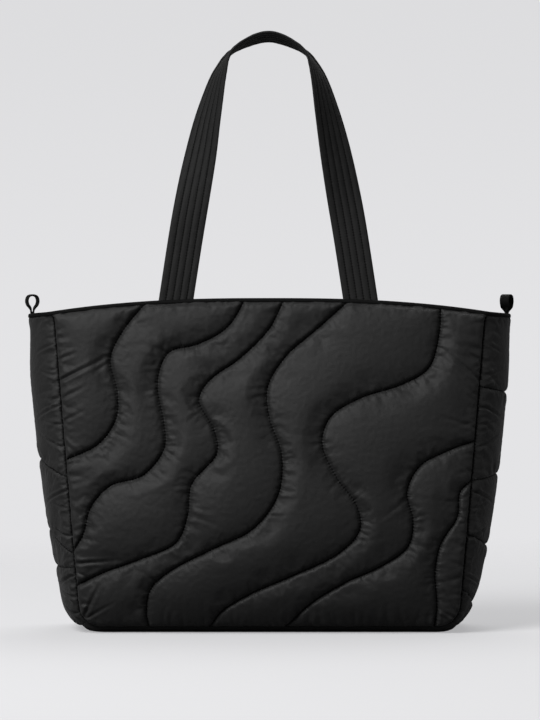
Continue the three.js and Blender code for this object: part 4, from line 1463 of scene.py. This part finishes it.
def cloth_shade_group():
    """Uneven dye, soft creases and a few specks of lint on cloth."""
    n, given, out = new_group(
        "cloth_shade",
        {"Place": None, "Colour": NO_COLOUR, "Unevenness": 0.2, "Roughness": 0.5,
         "Roughness spread": 0.1},
        {"Colour": NO_COLOUR, "Roughness": 0.0, "Creases": 0.0},
    )
    dye, fibres, creases = (n.noise(Vector=given["Place"], **kind) for kind in (DYE, FIBRES, CREASES))
    mix = n.math("ADD", n.math("MULTIPLY", dye, TONE_SHARE), n.math("MULTIPLY", fibres, TONE_SHARE))
    swing = n.math("MULTIPLY", n.math("SUBTRACT", mix, TONE_SHARE), given["Unevenness"])
    gain = n.math("ADD", 1.0, n.math("MULTIPLY", swing, 2.0))
    lint = n.math("MULTIPLY", n.math("GREATER_THAN", fibres, LINT_FROM), LINT_GAIN)
    n.feed(out["Colour"], n.scaled(given["Colour"], n.math("ADD", gain, lint)))
    spread = n.math("MULTIPLY", n.math("SUBTRACT", dye, 0.5), given["Roughness spread"])
    n.feed(out["Roughness"], n.math("ADD", given["Roughness"], spread))
    n.feed(out["Creases"], creases)
    return n.tree


def seam_gathers_group():
    """Tiny folds at each stitch of the quilting, and painted shade along a seam: a beaded dark line
    that stands in for the shade in its groove and at the stitch holes.

    Shade is 0 in the line and 1 away from it; edge seams, with places below zero, have no folds.
    """
    n, given, out = new_group(
        "seam_gathers", {"Place": None, "Pitch": 0.0031, "Reach": 0.006}, {"Height": 0.0, "Shade": 0.0},
    )
    place = n.parts(given["Place"])
    along, gap = place[0], place[1]
    uneven = n.add("ShaderNodeTexNoise", noise_dimensions="1D")
    n.feed(uneven.inputs["W"], along)
    n.feed(uneven.inputs["Scale"], STITCH_NOISE)
    uneven = uneven.outputs[0]
    turns = n.math("DIVIDE", n.math("MULTIPLY", along, 2 * math.pi), given["Pitch"])
    wave = n.math("SINE", n.math("ADD", turns, n.math("MULTIPLY", uneven, STITCH_DRIFT)))
    fade = n.math("SUBTRACT", 1.0, n.math("DIVIDE", gap, given["Reach"]))
    fade = n.math("POWER", n.math("MAXIMUM", fade, 0.0), 2.0)
    strength = n.math("POWER", n.math("MULTIPLY", uneven, STITCH_FOLD_GAIN), STITCH_FOLD_POWER)
    quilted = n.math("GREATER_THAN", along, 0.0)
    wave = n.math("MULTIPLY", n.math("MULTIPLY", wave, strength), quilted)
    n.feed(out["Height"], n.math("MULTIPLY", wave, fade))
    # Painted shade: darker in the seam's groove, most at the stitch holes, where shade falls
    beads = n.math("ADD", n.math("MULTIPLY", n.math("COSINE", turns), 0.5), 0.5)
    width = n.math("ADD", n.math("MULTIPLY", beads, BEAD_WIDTH), LINE_WIDTH)
    n.feed(out["Shade"], n.faded(n.math("DIVIDE", gap, width), DARK_SHARE, 1.0, 0.0, 1.0))
    return n.tree


GROUP_MAKERS = {
    "seam_gathers": seam_gathers_group,
    "plain_weave": plain_weave_group,
    "ribbed_tape": ribbed_tape_group,
    "cloth_shade": cloth_shade_group,
}


def placed_group(n, name, place, **values):
    """What a shared effect puts out, placed in a material with its own values."""
    tree = bpy.data.node_groups.get(name) or GROUP_MAKERS[name]()
    inputs = {key.replace("_", " "): value for key, value in values.items()}
    return n.add("ShaderNodeGroup", {"Place": place, **inputs}, node_tree=tree).outputs


# Finish of each cloth: surface effect, its pitch and depth, crease depth, roughness, unevenness,
# sheen, specular level
FINISHES = {
    "shell": ("plain_weave", 0.00042, 0.00003, 0.00006, 0.58, 0.30, 0.04, 0.21),
    "lining": ("plain_weave", 0.00050, 0.00004, 0.00020, 0.58, 0.20, 0.02, 0.22),
    "strap": ("plain_weave", 0.00055, 0.00006, 0.00005, 0.62, 0.30, 0.02, 0.15),
    "tape": ("ribbed_tape", 0.00090, 0.00012, 0.00003, 0.60, 0.15, 0.00, 0.05),
    "thread": ("ribbed_tape", 0.00060, 0.00005, 0.00002, 0.70, 0.10, 0.00, 0.05),
}
ROUGHNESS_SPREAD = 0.12
SHEEN_ROUGHNESS = 0.45

# Cloths with stitched lines: the stitches' pitch and the reach of the tiny folds at them, and the
# folds' height as a share of that reach
STITCHED = {"shell": ("quilt_pitch", 0.0065), "strap": ("strap_pitch", 0.003)}
STITCH_FOLD_HEIGHT = 0.05


def cloth_material(finish):
    """Procedural cloth in one of the finishes."""
    found = bpy.data.materials.get(finish)
    if found:
        return found
    effect, pitch, depth, crease_depth, roughness, uneven, sheen, specular = FINISHES[finish]
    colour = (*getattr(bpy.context.scene.bag_colours, finish), 1.0)
    material = bpy.data.materials.new(finish)
    material.use_nodes = True
    n = Nodes(material.node_tree)
    if finish == "thread":
        place = n.add("ShaderNodeTexCoord").outputs["Object"]
    else:
        place = n.add("ShaderNodeUVMap", uv_map="cloth").outputs[0]
    shade = placed_group(n, "cloth_shade", place, Colour=colour, Unevenness=uneven,
                         Roughness=roughness, Roughness_spread=ROUGHNESS_SPREAD)
    surface = placed_group(n, effect, place, Pitch=pitch)
    tone, rough, under = shade["Colour"], shade["Roughness"], {}
    if finish in STITCHED:
        by_seam = n.add("ShaderNodeUVMap", uv_map="seam").outputs[0]
        stitch_pitch, reach = STITCHED[finish]
        stitch_pitch = getattr(bpy.context.scene.bag_stitching, stitch_pitch)
        stitched = placed_group(n, "seam_gathers", by_seam, Pitch=stitch_pitch, Reach=reach)
        under["Normal"] = n.bump(stitched["Height"], STITCH_FOLD_HEIGHT * reach)
        # Painted shade in the seams' grooves: the tone is darkened there, and the roughness raised to
        # dull the sheen
        tone = n.scaled(tone, stitched["Shade"])
        rough = n.math("MAXIMUM", rough, n.math("SUBTRACT", 1.0, stitched["Shade"]))
    creases = n.bump(shade["Creases"], crease_depth, **under)
    shader = n.tree.nodes["Principled BSDF"]
    for label, value in {
        "Base Color": tone,
        "Roughness": rough,
        "Normal": n.bump(surface["Height"], depth, Normal=creases),
        "Sheen Weight": sheen,
        "Sheen Roughness": SHEEN_ROUGHNESS,
        "Specular IOR Level": specular,
    }.items():
        n.feed(shader.inputs[label], value)
    material.diffuse_color = colour
    return material


class BAG_OT_panels(Operator):
    """Quilted front and back panels with their stitching"""

    bl_idname = "bag.panels"
    bl_label = "Panels"

    def execute(self, context):
        padding, stitching = context.scene.bag_padding, context.scene.bag_stitching
        chart = PanelChart(padding.mesh_step)
        seed = SEEDS["panels"]
        skin = padded_skin(chart, padding.panel_puff, padding.panel_reach, seed)
        points, *rest = closed_wall(chart, *skin, seed + 1)
        rows = seam_rows(chart)
        for name, turned in (("front_panel", False), ("back_panel", True)):
            wall_piece(name + "_quilt", name, half_turned(points) if turned else points, *rest)
            here = [tuple(map(half_turned, row)) for row in rows] if turned else rows
            stitch_rows(name + "_stitches", here, stitching.quilt_pitch,
                        cloth_material("thread"))
        return {"FINISHED"}


class BAG_OT_gussets(Operator):
    """Quilted side gussets with their stitching"""

    bl_idname = "bag.gussets"
    bl_label = "Gussets"

    def execute(self, context):
        padding, stitching = context.scene.bag_padding, context.scene.bag_stitching
        for name, side, levels in (("left_gusset", -1, LEFT_LINES), ("right_gusset", 1, RIGHT_LINES)):
            chart, seed = StripChart(side, levels), SEEDS[name]
            skin = padded_skin(chart, padding.gusset_puff, padding.gusset_reach, seed)
            wall_piece(name + "_quilt", name, *closed_wall(chart, *skin, seed + 1))
            stitch_rows(name + "_stitches", seam_rows(chart), stitching.quilt_pitch,
                        cloth_material("thread"))
        return {"FINISHED"}


class BAG_OT_base(Operator):
    """Base panel, flat where it stands"""

    bl_idname = "bag.base"
    bl_label = "Base"

    def execute(self, context):
        step = BASE_COARSENESS * context.scene.bag_padding.mesh_step
        chart, seed = StripChart(0), SEEDS["base"]
        points, faces, sewn = tile(chart, step, [], seed)
        skin = np.hstack([chart.place(points), points])
        wall_piece("base_panel_cloth", "base_panel", *closed_wall(chart, skin, faces, sewn, seed + 1))
        return {"FINISHED"}


class BAG_OT_binding(Operator):
    """Tape folded over the edge of the mouth, with a row of stitches on each side"""

    bl_idname = "bag.binding"
    bl_label = "Binding"

    def execute(self, context):
        line, wide, high = binding_frames()
        half = WALL / 2 + CLEAR + TAPE
        profile = rounded(half, -HEM, CLEAR + TAPE, BINDING_ROUND, BINDING_EDGE_ROUND)
        points, faces, places = swept((line, wide, high), profile, True)
        made = mesh_object("top_binding_tape", points, faces, [cloth_material("tape")], cloth=places)
        finish_piece(made, ["top_binding"])
        rows = []
        for face in (-1, 1):
            row = line + wide * face * (half + ROW_LIFT) - high * (HEM - BINDING_ROW)
            closed = np.vstack([row, row[:1]])
            rows.append((closed, np.vstack([wide, wide[:1]]) * face))
        stitch_rows("top_binding_stitches", rows, context.scene.bag_stitching.tape_pitch,
                    cloth_material("thread"))
        return {"FINISHED"}


class BAG_OT_handles(Operator):
    """Front and back handles with padded channels and stitch rows"""

    bl_idname = "bag.handles"
    bl_label = "Handles"

    def execute(self, context):
        strap, thread = cloth_material("strap"), cloth_material("thread")
        strap_piece("front_handle_strap", HANDLE_COURSE, "front_handle", FRONT_WAVES, strap, thread)
        course, free = [], HANDLE_COURSE[-1][1] - RIM_HEIGHT
        for out, up, back, turn in HANDLE_COURSE:
            rise = BACK_RISE * float(smooth((up - RIM_HEIGHT) / free))
            course.append((out * BACK_SPREAD, up + rise, -back, -turn))
        strap_piece("back_handle_strap", course, "back_handle", BACK_WAVES, strap, thread)
        return {"FINISHED"}


class BAG_OT_loops(Operator):
    """Small tape loops at the ends of the mouth"""

    bl_idname = "bag.loops"
    bl_label = "Loops"

    def execute(self, context):
        tape = cloth_material("tape")
        loop_piece("left_loop_tape", "left_loop", -1, LEFT_LOOP_TURN, tape)
        loop_piece("right_loop_tape", "right_loop", 1, RIGHT_LOOP_TURN, tape)
        return {"FINISHED"}


# Soft lights: name, place, what it looks at, size, name of its power property
LIGHTS = (
    ("key_light", (-1.6, -2.0, 2.5), (0.0, 0.0, 0.2), 2.0, "key_power"),
    ("top_light", (0.3, 1.3, 2.7), (0.0, 0.0, 0.1), 2.0, "top_power"),
)

# Floor: radius, corners and how far it is solid, roughness, shares of its light that shine on the
# bag and that are even
FLOOR_RADIUS, FLOOR_CORNERS = 1.6, 64
FLOOR_SOLID = 0.4
FLOOR_ROUGHNESS = 0.7
FLOOR_BOUNCE = 0.28
FLOOR_GLOW = 0.50

# Backdrop: colour, slopes between which it gets darker, strength at the top
BACKDROP = (0.775, 0.774, 0.789)
BACKDROP_FADE = (-0.03, 0.09)
BACKDROP_TOP = 0.93
WHITE = (1.0, 1.0, 1.0, 1.0)

# Camera: what it looks at, height of the picture there, farthest thing it sees
LOOK_AT = (0.0005, -0.05, 0.2713)
IMAGE_HEIGHT = 0.7164
CLIP_END = 50.0


def floor_material():
    """Pale studio floor that melts into the backdrop away from the bag.

    Part of its tone is even, so that shadows stay soft, and little of it shines on the bag.
    """
    material = bpy.data.materials.new("studio_floor")
    material.use_nodes = True
    n = Nodes(material.node_tree)
    seen = n.add("ShaderNodeLightPath").outputs["Is Camera Ray"]
    lit = n.math("MULTIPLY", seen, 1 - FLOOR_BOUNCE - FLOOR_GLOW)
    tone = n.scaled(tuple(bpy.context.scene.bag_colours.floor), n.math("ADD", lit, FLOOR_BOUNCE))
    place = n.add("ShaderNodeTexCoord").outputs["Object"]
    far = n.add("ShaderNodeVectorMath", {0: place}, operation="LENGTH").outputs["Value"]
    shader = n.tree.nodes["Principled BSDF"]
    for label, value in {
        "Base Color": tone,
        "Roughness": FLOOR_ROUGHNESS,
        "Specular IOR Level": 0.0,
        "Emission Color": (*BACKDROP, 1.0),
        "Emission Strength": n.math("MULTIPLY", seen, FLOOR_GLOW),
        "Alpha": n.faded(far, FLOOR_SOLID, FLOOR_RADIUS, 1.0, 0.0),
    }.items():
        n.feed(shader.inputs[label], value)
    return material


def studio_world(scene):
    """Even light from all sides and a plain backdrop for the camera."""
    world = bpy.data.worlds.new("studio")
    world.use_nodes = True
    scene.world = world
    n = Nodes(world.node_tree)
    light = n.tree.nodes["Background"]
    n.feed(light.inputs["Color"], WHITE)
    n.feed(light.inputs["Strength"], scene.bag_stage.sky)
    slope = n.parts(n.add("ShaderNodeTexCoord").outputs["Generated"])[2]
    strength = n.faded(slope, *BACKDROP_FADE, 1.0, BACKDROP_TOP)
    seen = n.add("ShaderNodeBackground", {"Color": (*BACKDROP, 1.0), "Strength": strength})
    by_camera = n.add("ShaderNodeLightPath").outputs["Is Camera Ray"]
    mix = n.add("ShaderNodeMixShader", {0: by_camera, 1: light.outputs[0], 2: seen.outputs[0]})
    n.feed(n.tree.nodes["World Output"].inputs[0], mix.outputs[0])


class BAG_OT_stage(Operator):
    """Floor, light and camera"""

    bl_idname = "bag.stage"
    bl_label = "Stage"

    def execute(self, context):
        scene, stage = context.scene, context.scene.bag_stage
        scene.view_settings.view_transform = "Standard"
        turns = np.linspace(0, 2 * math.pi, FLOOR_CORNERS, endpoint=False)
        rim = FLOOR_RADIUS * np.column_stack([np.cos(turns), np.sin(turns), 0 * turns])
        floor = mesh_object("studio_floor", rim, [range(FLOOR_CORNERS)], [floor_material()])
        studio_world(scene)
        for name, place, target, size, power in LIGHTS:
            light = bpy.data.lights.new(name, "AREA")
            light.shape = "DISK"
            light.size = size
            light.energy = getattr(stage, power)
            lamp = bpy.data.objects.new(name, light)
            lamp.location = place
            lamp.rotation_euler = (Vector(target) - Vector(place)).to_track_quat("-Z", "Y").to_euler()
            scene.collection.objects.link(lamp)
        camera = bpy.data.cameras.new("camera")
        seat = bpy.data.objects.new("camera", camera)
        seat.location = (LOOK_AT[0], -stage.distance, stage.height)
        aim = Vector(LOOK_AT) - seat.location
        seat.rotation_euler = aim.to_track_quat("-Z", "Y").to_euler()
        camera.lens = camera.sensor_width * aim.length / IMAGE_HEIGHT
        camera.clip_end = CLIP_END
        scene.collection.objects.link(seat)
        scene.camera = seat
        return {"FINISHED"}


STEPS = (BAG_OT_stage, BAG_OT_panels, BAG_OT_gussets, BAG_OT_base, BAG_OT_binding,
         BAG_OT_handles, BAG_OT_loops)
GROUPS = {"bag_padding": BagPadding, "bag_stitching": BagStitching, "bag_colours": BagColours,
          "bag_stage": BagStage}


class BAG_PT_sidebar(Panel):
    """Lists the bag's pieces and settings"""

    bl_label = "Quilted bag"
    bl_idname = "BAG_PT_sidebar"
    bl_space_type = "VIEW_3D"
    bl_region_type = "UI"
    bl_category = "Bag"

    def draw(self, context):
        for name, group in GROUPS.items():
            box = self.layout.box()
            for key in group.__annotations__:
                box.prop(getattr(context.scene, name), key)
        for step in STEPS:
            self.layout.operator(step.bl_idname)


def register():
    for kind in (*GROUPS.values(), *STEPS, BAG_PT_sidebar):
        bpy.utils.register_class(kind)
    for name, group in GROUPS.items():
        setattr(bpy.types.Scene, name, PointerProperty(type=group))


def unregister():
    for name in GROUPS:
        delattr(bpy.types.Scene, name)
    for kind in (BAG_PT_sidebar, *reversed(STEPS), *reversed(GROUPS.values())):
        bpy.utils.unregister_class(kind)


def main():
    register()
    bpy.ops.bag.stage()
    bpy.ops.bag.panels()
    bpy.ops.bag.gussets()
    bpy.ops.bag.base()
    bpy.ops.bag.binding()
    bpy.ops.bag.handles()
    bpy.ops.bag.loops()


if __name__ == "__main__":
    main()
